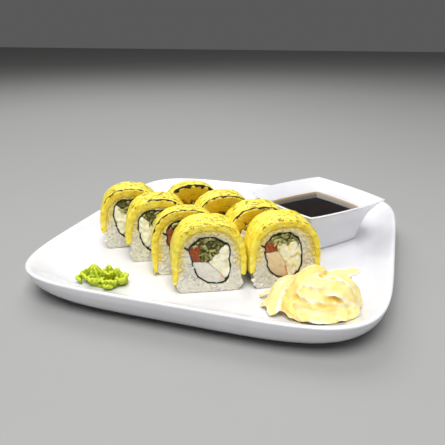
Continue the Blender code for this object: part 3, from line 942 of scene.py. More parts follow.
SPECS = (
    SliceSpec(
        "l1", 10.3, -71.8, 26.0, 20.5, 19.0, 0.5, 6.0, 10.5, 0.8, 151.0,
        (-1.1, -0.9, -2.8, -1.1, -1.1, 0.2, -0.7, -0.9, -1.1, 0.2, 2.1, 0.6),
        Fillings(-57, 47, 146, 184, (-5.6, 8.7), (-5.8, -1.0), (-1.5, -1.8), (3.2, -6.6), 0.85, 0.0),
        Torching(38, 142, 0.30, 0.62, 0.9, 0.10, 0.9),
    ),
    SliceSpec(
        "l2", -9.5, -55.6, 26.0, 20.4, 16.5, 2.5, 3.5, 11.0, 0.3, 152.0,
        (-0.4, -0.5, -0.8, 0.2, 0.4, 0.3, -0.4, -0.6, -0.4, 0.0, 0.4, 0.0),
        Fillings(-55, 44, 138, 182, (-4.6, 9.0), (-5.0, -0.6), (-1.2, -1.6), (3.0, -6.6), 0.6, 0.1),
        Torching(50, 165, 0.8, 1.0, 2.4, 0.55, 0.9),
    ),
    SliceSpec(
        "l3", -32.7, -43.8, 28.0, 20.2, 18.0, 0.8, 14.0, 12.0, -0.5, 148.0,
        (0.0, -0.5, -0.6, -0.4, -0.3, 0.2, 0.1, -0.2, -0.5, 0.2, 0.3, 0.2),
        Fillings(-60, 50, 140, 182, (-5.0, 8.6), (-5.4, -0.8), (-1.4, -1.6), (3.2, -6.6), 0.7, 0.2),
        Torching(44, 104, 1.3, 1.2, 2.6, 0.30, 1.0), mirrored=True,
    ),
    SliceSpec(
        "l4", -58.1, -30.5, 30.0, 20.0, 18.5, 0.5, 12.0, 12.0, 0.4, 150.0,
        (0.1, -0.4, -0.7, -0.5, -0.2, 0.2, 0.0, -0.3, -0.4, 0.0, 0.4, 0.3),
        Fillings(-58, 48, 140, 182, (-5.0, 8.6), (-5.4, -0.8), (-1.4, -1.6), (3.2, -6.6), 0.7, 0.1),
        Torching(32, 145, 0.7, 1.0, 2.6, 0.50, 1.0), mirrored=True,
    ),
    SliceSpec(
        "r1", 47.8, -53.6, 27.0, 20.2, 19.0, 0.5, 10.5, 12.0, -1.0, 152.0,
        (-1.0, -2.2, -2.3, -0.3, -1.6, -0.7, -0.8, -1.0, -1.0, -0.4, 0.7, -0.1),
        Fillings(
            -77, 48, 141, 168, (-5.3, 9.6), (-3.6, 3.0), (-4.2, 7.0), (1.0, -4.6), 1.0, 0.9, by_salmon=True
        ),
        Torching(38, 130, 0.35, 0.60, 1.0, 0.25, 0.8),
    ),
    SliceSpec(
        "r2", 29.3, -38.2, 28.0, 20.0, 17.5, 0.5, 11.0, 9.0, -0.4, 148.0,
        (-0.3, -0.5, -0.9, -0.4, 0.1, 0.2, 0.0, -0.2, -0.6, 0.0, 0.2, 0.1),
        Fillings(-48, 40, 138, 182, (-4.8, 8.8), (-5.2, -0.8), (-1.4, -1.6), (3.2, -6.4), 0.6, 0.2),
        Torching(52, 150, 1.1, 1.0, 7.5, 0.85, 0.9), mirrored=True,
    ),
    SliceSpec(
        "r3", 4.1, -24.9, 30.0, 19.8, 16.5, 0.8, 12.0, 10.0, 0.5, 150.0,
        (-0.5, -0.3, -0.8, -0.2, 0.2, 0.2, -0.2, -0.4, -0.2, 0.2, 0.5, -0.1),
        Fillings(-46, 44, 138, 182, (-4.8, 8.8), (-5.2, -0.8), (-1.4, -1.6), (3.2, -6.4), 0.5, 0.2),
        Torching(48, 148, 1.1, 1.0, 8.0, 0.85, 0.9),
    ),
    SliceSpec(
        "r4", -22.8, -10.0, 30.0, 19.8, 16.0, 1.5, 11.0, 9.0, 0.2, 152.0,
        (-0.2, -0.6, -0.5, -0.1, 0.3, 0.1, -0.3, -0.1, -0.4, 0.1, 0.3, 0.0),
        Fillings(-50, 42, 138, 182, (-4.8, 8.8), (-5.2, -0.8), (-1.4, -1.6), (3.2, -6.4), 0.6, 0.1),
        Torching(50, 128, 2.6, 1.4, 9.0, 0.85, 0.9), joined=True,
    ),
)


class SliceShape:
    """The outlines of one slice, seen from its front, and the way from them to the platter.

    Across the slice, x runs to its right and z up from the plate's floor. depth runs from its cut
    front face to its back. ARCH is the arch's rough radius, which turns directions into lengths.
    NORI is thicker than a real sheet, so that its line shows.
    """

    HIGH = 40 * MM
    CHEESE = 3.0 * MM
    SHOULDER = 15.0 * MM
    ROUNDNESS = 2.5
    RING_MIDDLE = 19.3 * MM
    RING_HALF = 11.2 * MM
    RING_HALF_HIGH = 14.0 * MM
    RING_ROUNDNESS = 2.7
    RING_TAPER = 0.13
    ARCH = 20 * MM
    NORI = 0.42 * MM

    def __init__(self, spec: SliceSpec) -> None:
        """Work out the outlines.

        Args:
            spec: the slice's sizes.
        """
        self.spec = spec
        self.half = spec.half * MM
        self.length = spec.length * MM
        self.fall = spec.drop * MM / self.HIGH / self.length
        self.middle = (spec.ring_shift * MM, self.RING_MIDDLE)
        self.rice_half = self.half - self.CHEESE - GAP
        foot = min(self.half - 2 * MM, self.rice_half + 0.4 * MM)
        self.rice_table = self._table(self.rice_half, self.HIGH - self.CHEESE - GAP, foot)
        self.top_table = self._table(self.half, self.HIGH, self.half - 0.5 * MM)
        self.seed = sum(ord(letter) * (i + 3) for i, letter in enumerate(spec.name))
        self.draw = np.random.default_rng(self.seed)

    def _table(self, half: float, high: float, foot: float) -> Points:
        """Directions and reaches of an arch with a flat foot, seen from the ring's middle."""
        angle = np.linspace(0, math.pi, 400)
        c, s = np.cos(angle), np.abs(np.sin(angle))
        x = np.sign(c) * np.abs(c) ** (2 / self.ROUNDNESS) * half
        z = self.SHOULDER + (high - self.SHOULDER) * s ** (2 / self.ROUNDNESS)
        corner = 2.0 * MM
        low = [(-foot, corner), (-foot + corner, 0.0), (foot - corner, 0.0), (foot, corner), (x[0], z[0])]
        line = [np.stack([x, z], axis=-1)]
        steps = np.linspace(0, 1, 60)[1:, None]
        for point in low:
            last = line[-1][-1]
            line.append(last + (np.asarray(point) - last) * steps)
        outline = np.concatenate(line) - np.asarray(self.middle)
        direction = np.arctan2(outline[:, 1], outline[:, 0]) % TURN
        order = np.argsort(direction)
        return np.stack([direction[order], np.hypot(outline[:, 0], outline[:, 1])[order]])

    @staticmethod
    def _read(table: Points, angle: np.ndarray) -> np.ndarray:
        """Reach in each direction."""
        return np.interp(np.asarray(angle) % TURN, table[0], table[1], period=TURN)

    def rice_reach(self, angle: np.ndarray) -> np.ndarray:
        """Reach of the rice's outside in each direction."""
        return self._read(self.rice_table, angle)

    def top_reach(self, angle: np.ndarray) -> np.ndarray:
        """Reach of the cheese's outside in each direction."""
        return self._read(self.top_table, angle)

    def ring_reach(self, angle: np.ndarray) -> np.ndarray:
        """Reach of the seaweed ring's outside in each direction, without its overlap."""
        angle = np.asarray(angle)
        c, s = np.abs(np.cos(angle)), np.abs(np.sin(angle))
        power = self.RING_ROUNDNESS
        reach = ((c / self.RING_HALF) ** power + (s / self.RING_HALF_HIGH) ** power) ** (-1 / power)
        reach = reach * (1 + self.RING_TAPER * np.sin(angle) * c)
        added = np.asarray(self.spec.ring) * MM
        turned = (angle % TURN) / TURN
        part = turned * len(added)
        low = np.floor(part).astype(int) % len(added)
        blend = smoothstep(0.0, 1.0, part - np.floor(part))
        kinks = SmoothField(self.seed + 5, 1.1, 12, 1)(angle[..., None] * 2.0) * 0.20 * MM
        kinks += SmoothField(self.seed + 6, 0.32, 12, 1)(angle[..., None] * 2.0) * 0.07 * MM
        kinks *= np.sin(np.clip(turned, 0, 1) * math.pi) ** 0.5
        return reach + added[low] * (1 - blend) + added[(low + 1) % len(added)] * blend + kinks

    def across(self, angle: np.ndarray, reach: np.ndarray) -> tuple[np.ndarray, np.ndarray]:
        """x and z across the slice for a direction and reach from the ring's middle."""
        return self.middle[0] + reach * np.cos(angle), self.middle[1] + reach * np.sin(angle)

    def place(self, x: Any, depth: Any, z: Any) -> Points:
        """The point on the platter for a place in the slice."""
        x, depth, z = np.broadcast_arrays(np.asarray(x, float), depth, z)
        turn = math.radians(self.spec.turn)
        c, s = math.cos(turn), math.sin(turn)
        high = TABLE_BASE + z * (1 - self.fall * depth)
        return np.stack(
            [self.spec.x * MM + x * c - depth * s, self.spec.y * MM + x * s + depth * c, high], axis=-1
        )

    def polar(self, angle: Any, reach: Any, depth: Any) -> Points:
        """The point on the platter for a direction, a reach and a depth."""
        angle, reach, depth = np.broadcast_arrays(np.asarray(angle, float), reach, depth)
        x, z = self.across(angle, reach)
        return self.place(x, depth, z)

    def edge_height(self, angle: np.ndarray) -> np.ndarray:
        """Height at which the cheese ends on that side of the slice."""
        return np.where(np.cos(angle) < 0, self.spec.left, self.spec.right) * MM

    def node(self, what: str) -> str:
        """The name of this slice's node of that kind."""
        return f"{self.spec.name}_{what}"


@dataclass
class RiceArch:
    """The rice: a core round the seaweed, and grains pressed into all its bare sides.

    A grain is about 5 mm long. spacing is the least distance between two of them on a face, tries is
    how many places are drawn, and stations is the core's number of points round the ring. On a cut
    face a grain's middle keeps clear of ring, rim and floor. face_sunk, side_sunk and cut are the
    ranges in millimetres of how deep grains lie and of where the knife cut them.
    """

    shape: SliceShape
    grain_half: tuple = (2.35 * MM, 1.22 * MM, 1.15 * MM)
    spacing: float = 1.95 * MM
    tries: int = 2600
    stations: int = 144
    ring_clear: float = 1.15 * MM
    rim_clear: float = 0.6 * MM
    floor_clear: float = 1.2 * MM
    face_sunk: tuple = (0.55, 0.95)
    side_sunk: tuple = (1.05, 1.3)
    cut: tuple = (-0.22, -0.12)

    def build(self) -> None:
        """Build the core and the grains as one piece."""
        form = Form()
        self.add_core(form)
        for face in (0, 1):
            self.add_face_grains(form, face)
        self.add_side_grains(form)
        name = self.shape.node("rice")
        form.make(f"{name}_grains", CookedRice(), "sushi_rice", [name])

    def stain(self, angle: np.ndarray, reach: np.ndarray) -> np.ndarray:
        """How yellow the rice is, by its distance from the cheese."""
        shape = self.shape
        to_rim = shape.rice_reach(angle) - reach
        high = shape.across(angle, reach)[1]
        upper = smoothstep(0.0, 9 * MM, high - shape.edge_height(angle))
        toast = shape.spec.torching.toast
        far = (5.5 + 4.0 * toast) * MM
        return (0.9 + 0.1 * toast) * upper * (1 - smoothstep(0.3 * MM, far, to_rim))

    def add_core(self, form: Form) -> None:
        """Add the core, which lies a little behind the grains."""
        shape = self.shape
        angle = circle(self.stations)[:, None]
        hole = shape.ring_reach(angle) + 0.1 * MM
        rim = shape.rice_reach(angle) - 0.1 * MM
        parts = np.array([0, 0.15, 0.3, 0.45, 0.6, 0.75, 0.9, 1.0])
        back = shape.length
        front_depth = np.where(parts == 1.0, 0.25 * MM, 0.0)
        reach = hole + np.concatenate([parts, parts[::-1]]) * (rim - hole)
        depth = np.concatenate([front_depth, back - front_depth[::-1]])
        points = shape.polar(angle, reach, depth)
        bumps = SmoothField(shape.seed + 9, 2.0 * MM)(points) * 0.10 * MM
        points = shape.polar(angle, reach, depth + bumps * np.where(depth < back / 2, 1, -1))
        stain = self.stain(angle * np.ones_like(reach), reach)
        # deep paints the core with the shade between the grains; the grains carry none.
        form.sheet(points, closed=True, stain=stain, deep=0.6, grain=0.4)

    @cached_property
    def ball(self) -> tuple[Points, list]:
        """Points on a unit ball and its faces, for one grain."""
        around, rows = 8, 6
        polar = np.linspace(0, math.pi, rows + 2)[1:-1, None]
        turn = circle(around)[None]
        wide = np.sin(polar)
        long = np.cos(polar) * np.ones_like(turn)
        ball = np.stack([long, wide * np.cos(turn), wide * np.sin(turn)], axis=-1)
        return ball.reshape(-1, 3), tube_faces(rows, around, False)

    def add_grain(
        self, form: Form, axes: Points, middle: Points, cut_depth: float | None, stain: float
    ) -> None:
        """Add one grain, flattened by the knife if it lies at a cut face.

        Args:
            form: the form that takes it.
            axes: three rows, its long, wide and flat direction as x, depth and z.
            middle: its middle as x, depth and z.
            cut_depth: the depth of the cut, or None where it wasn't cut.
            stain: how yellow it is.
        """
        ball, faces = self.ball
        draw = self.shape.draw
        size = np.asarray(self.grain_half) * draw.uniform(0.86, 1.12, 3)
        bend = ball[:, 0:1] ** 2 * draw.uniform(-0.25, 0.25) * size[1] * axes[1]
        local = middle + (ball * size) @ axes + bend
        if cut_depth is not None:
            front = middle[1] < self.shape.length / 2
            over = (cut_depth - local[:, 1]) if front else (local[:, 1] - cut_depth)
            local[:, 1] += (1 if front else -1) * 0.95 * np.maximum(over, 0.0)
        points = self.shape.place(local[:, 0], local[:, 1], local[:, 2])
        form.add(points, faces, stain=stain, deep=0.0, grain=float(draw.uniform(0, 1)))

    def scatter(self, inside: Callable[[Points], np.ndarray], low: Points, high: Points) -> Points:
        """Draw places that keep their distance from each other.

        Args:
            inside: says for each place whether it may be used.
            low: the lowest corner of the box that is drawn from.
            high: its highest corner.

        Returns:
            The places.
        """
        tries = self.shape.draw.uniform(low, high, (self.tries, 2))
        tries = tries[inside(tries)]
        kept = np.zeros((0, 2))
        for place in tries:
            if not len(kept) or np.min(np.hypot(*(kept - place).T)) > self.spacing:
                kept = np.vstack([kept, place])
        return kept

    def add_face_grains(self, form: Form, face: int) -> None:
        """Cover one cut face with grains.

        Args:
            form: the form that takes them.
            face: 0 for the front and 1 for the back.
        """
        shape = self.shape

        def inside(places: Points) -> np.ndarray:
            """Whether each place is between the seaweed and the rim."""
            out = places - np.asarray(shape.middle)
            angle, reach = np.arctan2(out[:, 1], out[:, 0]), np.hypot(out[:, 0], out[:, 1])
            off_ring = reach > shape.ring_reach(angle) + self.ring_clear
            off_rim = reach < shape.rice_reach(angle) - self.rim_clear
            return off_ring & off_rim & (places[:, 1] > self.floor_clear)

        for x, z in self.scatter(inside, np.array([-shape.half, 0.0]), np.array([shape.half, shape.HIGH])):
            turn = shape.draw.uniform(0, math.pi)
            tilt = shape.draw.normal(0, 0.28)
            c, s, flat = math.cos(turn), math.sin(turn), math.cos(tilt)
            along = np.array([c * flat, math.sin(tilt), s * flat])
            wide = np.array([-s, 0.0, c])
            axes = np.stack([along, wide, np.cross(along, wide)])
            sunk = shape.draw.uniform(*self.face_sunk) * MM
            depth = sunk if face == 0 else shape.length - sunk
            cut = shape.draw.uniform(*self.cut) * MM
            cut_depth = cut if face == 0 else shape.length - cut
            out = np.array([x, z]) - np.asarray(shape.middle)
            stain = float(self.stain(np.arctan2(out[1], out[0]), np.hypot(*out)))
            self.add_grain(form, axes, np.array([x, depth, z]), cut_depth, stain)

    def add_side_grains(self, form: Form) -> None:
        """Cover the sides under the cheese's lower edges with grains."""
        shape = self.shape
        for side in (-1, 1):
            edge = (shape.spec.left if side < 0 else shape.spec.right) * MM
            low, high = np.array([1.7, 1.0]) * MM, np.array([shape.length - 1.7 * MM, edge + 1.0 * MM])
            for depth, z in self.scatter(lambda places: np.ones(len(places), bool), low, high):
                angle = math.atan2(z - shape.middle[1], side * shape.half - shape.middle[0])
                reach = float(shape.rice_reach(angle)) - shape.draw.uniform(*self.side_sunk) * MM
                x, high_z = shape.across(angle, reach)
                turn = shape.draw.uniform(0, math.pi)
                along = np.array([0.0, math.cos(turn), math.sin(turn)])
                flat = np.array([math.cos(angle), 0.0, math.sin(angle)])
                wide = np.cross(flat, along)
                axes = np.stack([along, wide / np.linalg.norm(wide), flat])
                self.add_grain(form, axes, np.array([x, depth, max(high_z, 1.3 * MM)]), None, 0.0)


@dataclass
class SeaweedRing:
    """The seaweed sheet that runs through the slice as a crinkled ring with a small overlap.

    It stands out of both cut faces, and its edges there are ragged.
    """

    shape: SliceShape
    overlap: float = 2.6 * MM
    stands_out: float = 0.28 * MM
    uneven: float = 0.12 * MM
    rings: int = 8

    def build(self) -> None:
        """Build the ring as a thin tube."""
        shape = self.shape
        seam = math.radians(shape.spec.seam)
        if shape.spec.mirrored:
            seam = math.pi - seam
        even = circle(220)
        close = seam + np.radians(np.linspace(-6, 6, 25))
        angle = np.unique(np.concatenate([even, close]) % TURN)[:, None]
        away = np.abs((angle - seam + math.pi) % TURN - math.pi)
        tail = self.overlap * np.exp(-((away / math.radians(2.4)) ** 4))
        outer = shape.ring_reach(angle)
        depths = np.linspace(-self.stands_out, shape.length + self.stands_out, self.rings)
        depth = np.concatenate([depths, depths[::-1]])
        outside = np.repeat([1.0, 0.0], self.rings)
        reach = outer - shape.NORI * (1 - outside) + tail * outside
        x, z = shape.across(angle, reach)
        places = np.stack([x, z, depth * np.ones_like(x)], axis=-1)
        crinkle = SmoothField(shape.seed + 21, 4.0 * MM)(places) * self.uneven
        ragged = SmoothField(shape.seed + 22, 1.8 * MM)(places) * self.uneven
        ends = np.where(depth < 0, ragged, np.where(depth > shape.length, -ragged, 0.0))
        points = shape.polar(angle, reach + crinkle, depth + ends)
        name = shape.node("nori")
        form = Form().sheet(points, closed=True)
        form.make(f"{name}_sheet", SeaweedSheet(), "nori_seaweed", [name], sharp=60.0)


@dataclass
class CheeseCover:
    """The torched cheese that hangs over the arch of rice.

    along and across are its numbers of points round the arch and over its top, and front and back
    how far it stands out past the cut faces. fine, broad and dent are the sizes of its unevenness.
    """

    shape: SliceShape
    along: int = 250
    across: int = 26
    front: float = 0.52 * MM
    back: float = 0.5 * MM
    edge_round: float = 1.1 * MM
    end_round: float = 1.1 * MM
    fine: float = 0.06 * MM
    broad: float = 0.12 * MM
    dent: float = 0.22 * MM

    def ends(self, depth: np.ndarray) -> tuple[np.ndarray, np.ndarray]:
        """Directions of the right and left lower edges, which wander with depth."""
        shape, spec = self.shape, self.shape.spec
        side, low = shape.middle
        wander = [SmoothField(shape.seed + 30 + i, 9 * MM, 12, 1)(depth[..., None]) for i in (0, 1)]
        right = np.arctan2(spec.right * MM - low + 0.7 * MM * wander[0], shape.rice_half - side)
        left = math.pi - np.arctan2(spec.left * MM - low + 0.7 * MM * wander[1], shape.rice_half + side)
        return right, left

    def build(self) -> None:
        """Build the cheese from sections across its arch, with its marks of the flame."""
        shape, torch = self.shape, self.shape.spec.torching
        length = shape.length
        curtain, depths, level = self.section(length)
        part = np.linspace(0, 1, self.along)[:, None]
        right, left = self.ends(depths)
        angle = right + (left - right) * part
        inner = shape.rice_reach(angle) + 0.15 * MM
        outer = shape.top_reach(angle)
        arc = (left - right) * inner
        to_end = np.minimum(part, 1 - part) * arc
        close = np.clip(to_end / self.end_round, 0.02, 1.0)
        shut = np.sqrt(1 - (1 - close) ** 2)
        full = outer - inner
        run = torch.curtain * MM * self.curtain_shape(angle)
        reach = inner + full * level * shut - run * curtain * shut
        centre = np.where(depths < length / 2, 0.35 * MM, length - 0.35 * MM)
        depth = centre + (depths - centre) * np.where(level + curtain > 0, 0.35 + 0.65 * shut, 1.0)
        reach, depth = self.wrinkled(angle, reach, depth, level, shut)
        marks = self.flame_marks(angle, reach, depth, level, curtain)
        points = shape.polar(angle, reach, depth)
        points[..., 2] = np.minimum(points[..., 2], TABLE_BASE + shape.HIGH + 0.05 * MM)
        name = shape.node("cheese")
        form = Form().sheet(points, **marks)
        form.make(f"{name}_melted", TorchedCheese(), "melted_cheese", [name])

    def section(self, length: float) -> tuple[np.ndarray, np.ndarray, np.ndarray]:
        """One section through the cheese, from its inside at the back round over the top.

        Args:
            length: the slice's length.

        Returns:
            How far down the curtain, the depth, and the height from 0 inside to 1 outside, of each
            point.
        """
        bend = np.radians(np.linspace(0, 90, 8))
        edge = list(zip(self.edge_round * (1 - np.cos(bend)), 0.62 + 0.38 * np.sin(bend)))
        rows = [(0.0, part * length, 0.0) for part in np.linspace(0.94, 0.06, 7)]
        rows += [(0.5, 0.15 * MM, 0.0), (0.97, 0.05 * MM, 0.0), (1.0, -0.16 * MM, 0.0)]
        rows += [(0.8, -0.34 * MM, 0.0), (0.55, -0.42 * MM, 0.0), (0.28, -0.47 * MM, 0.0)]
        rows += [(0.0, -0.50 * MM, 0.05)]
        rows += [(0.0, -self.front, 0.25), (0.0, -self.front, 0.45)]
        rows += [(0.0, inset - self.front, height) for inset, height in edge]
        close = np.linspace(0.7 * MM, 4.0 * MM, 15)
        wide = np.linspace(4.0 * MM, length - 1.0 * MM, self.across)
        rows += [(0.0, depth, 1.0) for depth in (*close, *wide[1:])]
        end = length + self.back
        rows += [(0.0, end - inset, height) for inset, height in edge[::-1]]
        rows += [(0.0, end, 0.35), (0.0, end - 0.05 * MM, 0.1), (0.0, end - 0.3 * MM, 0.0)]
        table = np.asarray(rows)
        return table[:, 0], table[:, 1], table[:, 2]

    def curtain_shape(self, angle: np.ndarray) -> np.ndarray:
        """How far the cheese has run down the face, as a part of the most."""
        wave = SmoothField(self.shape.seed + 41, 0.9, 10, 1)(angle[..., None] * 2.0)
        top = np.clip(np.sin(angle), 0, 1) ** 1.5
        return np.clip((0.35 + 0.65 * top) * (1 + 0.16 * wave), 0.05, 1.2)

    @staticmethod
    def laid_out(angle: np.ndarray, depth: np.ndarray, reach: np.ndarray, squeeze: float = 1.0) -> Points:
        """Places as length along the arch, depth and reach, squeezed along the arch."""
        return np.stack([angle * SliceShape.ARCH / squeeze, depth, reach], axis=-1)

    def wrinkled(
        self, angle: np.ndarray, reach: np.ndarray, depth: np.ndarray, level: np.ndarray, shut: np.ndarray
    ) -> tuple[np.ndarray, np.ndarray]:
        """Give the outside its wrinkles, dents and uneven front edge.

        Args:
            angle: direction of each point.
            reach: its reach.
            depth: its depth.
            level: its height from 0 inside to 1 outside.
            shut: how far the section is closed near the lower edges.

        Returns:
            The new reaches and depths.
        """
        seed = self.shape.seed
        place = self.laid_out(angle, depth, reach)
        stretched = self.laid_out(angle, depth, reach, 1.9)
        fine = SmoothField(seed + 51, 2.2 * MM, 28)(stretched)
        broad = SmoothField(seed + 52, 7.5 * MM, 18)(place)
        lumps = self.fine * fine + self.broad * broad
        dents = -self.dent * smoothstep(0.9, 1.8, SmoothField(seed + 53, 4.5 * MM, 20)(stretched))
        calm = 0.3 + 0.7 * smoothstep(0.5 * MM, 3.5 * MM, depth)
        reach = reach + ((lumps + dents) * calm - 0.2 * MM) * level * shut
        front = np.exp(-((depth / (1.5 * MM)) ** 2))
        sway = SmoothField(seed + 54, 6 * MM, 14, 1)(place[..., :1]) * 0.16 * MM
        return reach, depth + front * (sway + 0.02 * MM * fine) * (level > 0)

    def flame_marks(
        self, angle: np.ndarray, reach: np.ndarray, depth: np.ndarray, level: np.ndarray, curtain: np.ndarray
    ) -> dict[str, np.ndarray]:
        """The values that the cheese's finish reads.

        Args:
            angle: direction of each point.
            reach: its reach.
            depth: its depth.
            level: its height from 0 inside to 1 outside.
            curtain: how far down the curtain it is.

        Returns:
            Char, toast and spots, and the place along the arch and across it.
        """
        torch, seed = self.shape.spec.torching, self.shape.seed
        degrees = np.degrees(angle)
        place = self.laid_out(angle, depth, reach)
        wide = torch.wide * MM
        along = smoothstep(torch.start - 5, torch.start + 6, degrees)
        along = along * (1 - smoothstep(torch.end - 6, torch.end + 5, degrees))
        wander = SmoothField(seed + 61, 7 * MM, 14, 1)(place[..., :1]) * 0.25 * MM
        gaps = SmoothField(seed + 62, 5 * MM, 14, 1)(place[..., :1])
        front_half = depth < self.shape.length / 2
        path = depth - self.shape.CHEESE * (1 - level) * front_half
        middle = -0.35 * MM + 0.6 * wander
        swell = 1 + 0.35 * SmoothField(seed + 63, 6 * MM, 12, 1)(place[..., :1])
        line = np.exp(-((np.abs(path - middle) / (0.5 * wide * swell + 0.12 * MM)) ** 3))
        holes = smoothstep(-1.5, -0.9, gaps + 1.6 * (min(torch.dark, 1.0) - 0.5))
        upper = smoothstep(0.35, 0.75, level * np.ones_like(angle))
        char = torch.dark * line * along * holes * smoothstep(0.0, 0.25, level * np.ones_like(angle))
        patches = SmoothField(seed + 64, 3.2 * MM, 24)(self.laid_out(angle, depth, reach, 1.8))
        patches = smoothstep(1.05, 1.6, patches) * upper
        patches = patches * smoothstep(25, 60, degrees) * (1 - smoothstep(120, 155, degrees))
        char = char + (0.25 + 0.35 * min(torch.dark, 1.0) ** 2) * torch.spots * patches
        crest = np.clip(np.sin(angle), 0, 1)
        front = np.exp(-(np.maximum(depth, 0) / (1.2 * MM)) ** 2) * (1 - upper)
        toast = torch.toast * (front * (0.5 + 0.5 * crest) + curtain * 0.4)
        toast = toast + 0.25 * smoothstep(0.6, 1.6, SmoothField(seed + 65, 6 * MM, 20)(place)) * upper
        spots = torch.spots * (0.3 + 0.7 * crest**2) * (0.35 + 0.65 * upper)
        skin = self.laid_out(angle, depth, reach, 1.7)
        return {"char": np.clip(char, 0, 1), "toast": np.clip(toast, 0, 1), "spots": spots, "skin": skin}


@dataclass(frozen=True)
class Region:
    """The outline of one filling: a part of the ring's inside and points inside the ring.

    It lies at the seaweed from start to end, in degrees. inside holds the points from there back to
    the start, in millimetres from the ring's middle.
    """

    shape: SliceShape
    start: float
    end: float
    inside: Sequence[tuple]

    def outline(self) -> Points:
        """Points round the region, as x and z from the ring's middle."""
        shape, mirrored = self.shape, self.shape.spec.mirrored
        sweep = np.linspace(math.radians(self.start), math.radians(self.end), 60)
        reach = shape.ring_reach(math.pi - sweep if mirrored else sweep) - shape.NORI - 0.12 * MM
        arc = np.stack([reach * np.cos(sweep), reach * np.sin(sweep)], axis=-1)
        corners = np.concatenate([arc[-1:], np.asarray(self.inside) * MM, arc[:1]])
        part = np.linspace(0, 1, 12)[:-1, None]
        sides = [first + (second - first) * part for first, second in zip(corners, corners[1:])]
        line = np.concatenate([arc[:-1], *sides])
        if mirrored:
            line = line * np.array([-1.0, 1.0])
        return line


def softened(line: Points, times: int, count: int = 96) -> Points:
    """Round a closed outline by moving each point half way towards its neighbours.

    Args:
        line: the outline's points.
        times: how often.
        count: how many points the rounded outline has.

    Returns:
        The rounded outline, evenly spaced.
    """
    closed = np.concatenate([line, line[:1]])
    run = np.concatenate([[0.0], np.cumsum(np.hypot(*np.diff(closed, axis=0).T))])
    steps = np.linspace(0, run[-1], count + 1)[:-1]
    line = np.stack([np.interp(steps, run, closed[:, i]) for i in (0, 1)], axis=-1)
    for _ in range(times):
        near = (np.roll(line, 1, axis=0) + np.roll(line, -1, axis=0)) / 2
        line = (line + near) / 2
    return line


@dataclass
class Filling:
    """One filling: a body of its outline that runs through the slice and swells at both cuts.

    front is the depth at which it begins. It swells by swell, has lumps of that height and size,
    and edge is the radius of its rounded edge.
    """

    shape: SliceShape
    front: float = -0.2 * MM
    swell: float = 0.3 * MM
    lumps: float = 0.1 * MM
    lump_size: float = 3.0 * MM
    edge: float = 0.5 * MM

    def body(self, line: Points, seed: int) -> tuple[Points, Points]:
        """The body's rows of points.

        Args:
            line: its outline, x and z from the ring's middle.
            seed: the seed of its lumps.

        Returns:
            The points on the platter, and their places as x, depth and z, from the ring's middle.
        """
        shape = self.shape
        centre = line.mean(axis=0)
        size = math.sqrt(abs(np.cross(line, np.roll(line, -1, axis=0)).sum()) / 2 / math.pi)
        shrinks = [0.04, 0.18, 0.34, 0.5, 0.64, 0.76, 0.86, 0.93, 0.975, 1.0]
        rows = []
        for shrink in shrinks:
            inset = (1 - shrink) * size
            fall = self.edge * (1 - math.sqrt(max(0.0, 1 - (1 - min(1.0, inset / self.edge)) ** 2)))
            rows.append((shrink, self.front - self.swell * (1 - shrink**2) + fall, -1.0))
        middle = [(1.0, part * shape.length, 0.0) for part in (0.12, 0.3, 0.5, 0.7, 0.88)]
        back = [(shrink, shape.length - depth, 1.0) for shrink, depth, _ in rows[::-1]]
        table = np.asarray(rows + middle + back)
        flat = centre + (line - centre)[None] * table[:, 0, None, None]
        depth = table[:, 1, None] * np.ones(len(line))
        place = np.stack([flat[..., 0], depth, flat[..., 1]], axis=-1)
        lumps = SmoothField(seed, self.lump_size, 22)(place) * self.lumps
        place[..., 1] += lumps * -table[:, 2, None]
        points = shape.place(shape.middle[0] + place[..., 0], place[..., 1], shape.middle[1] + place[..., 2])
        return points, place


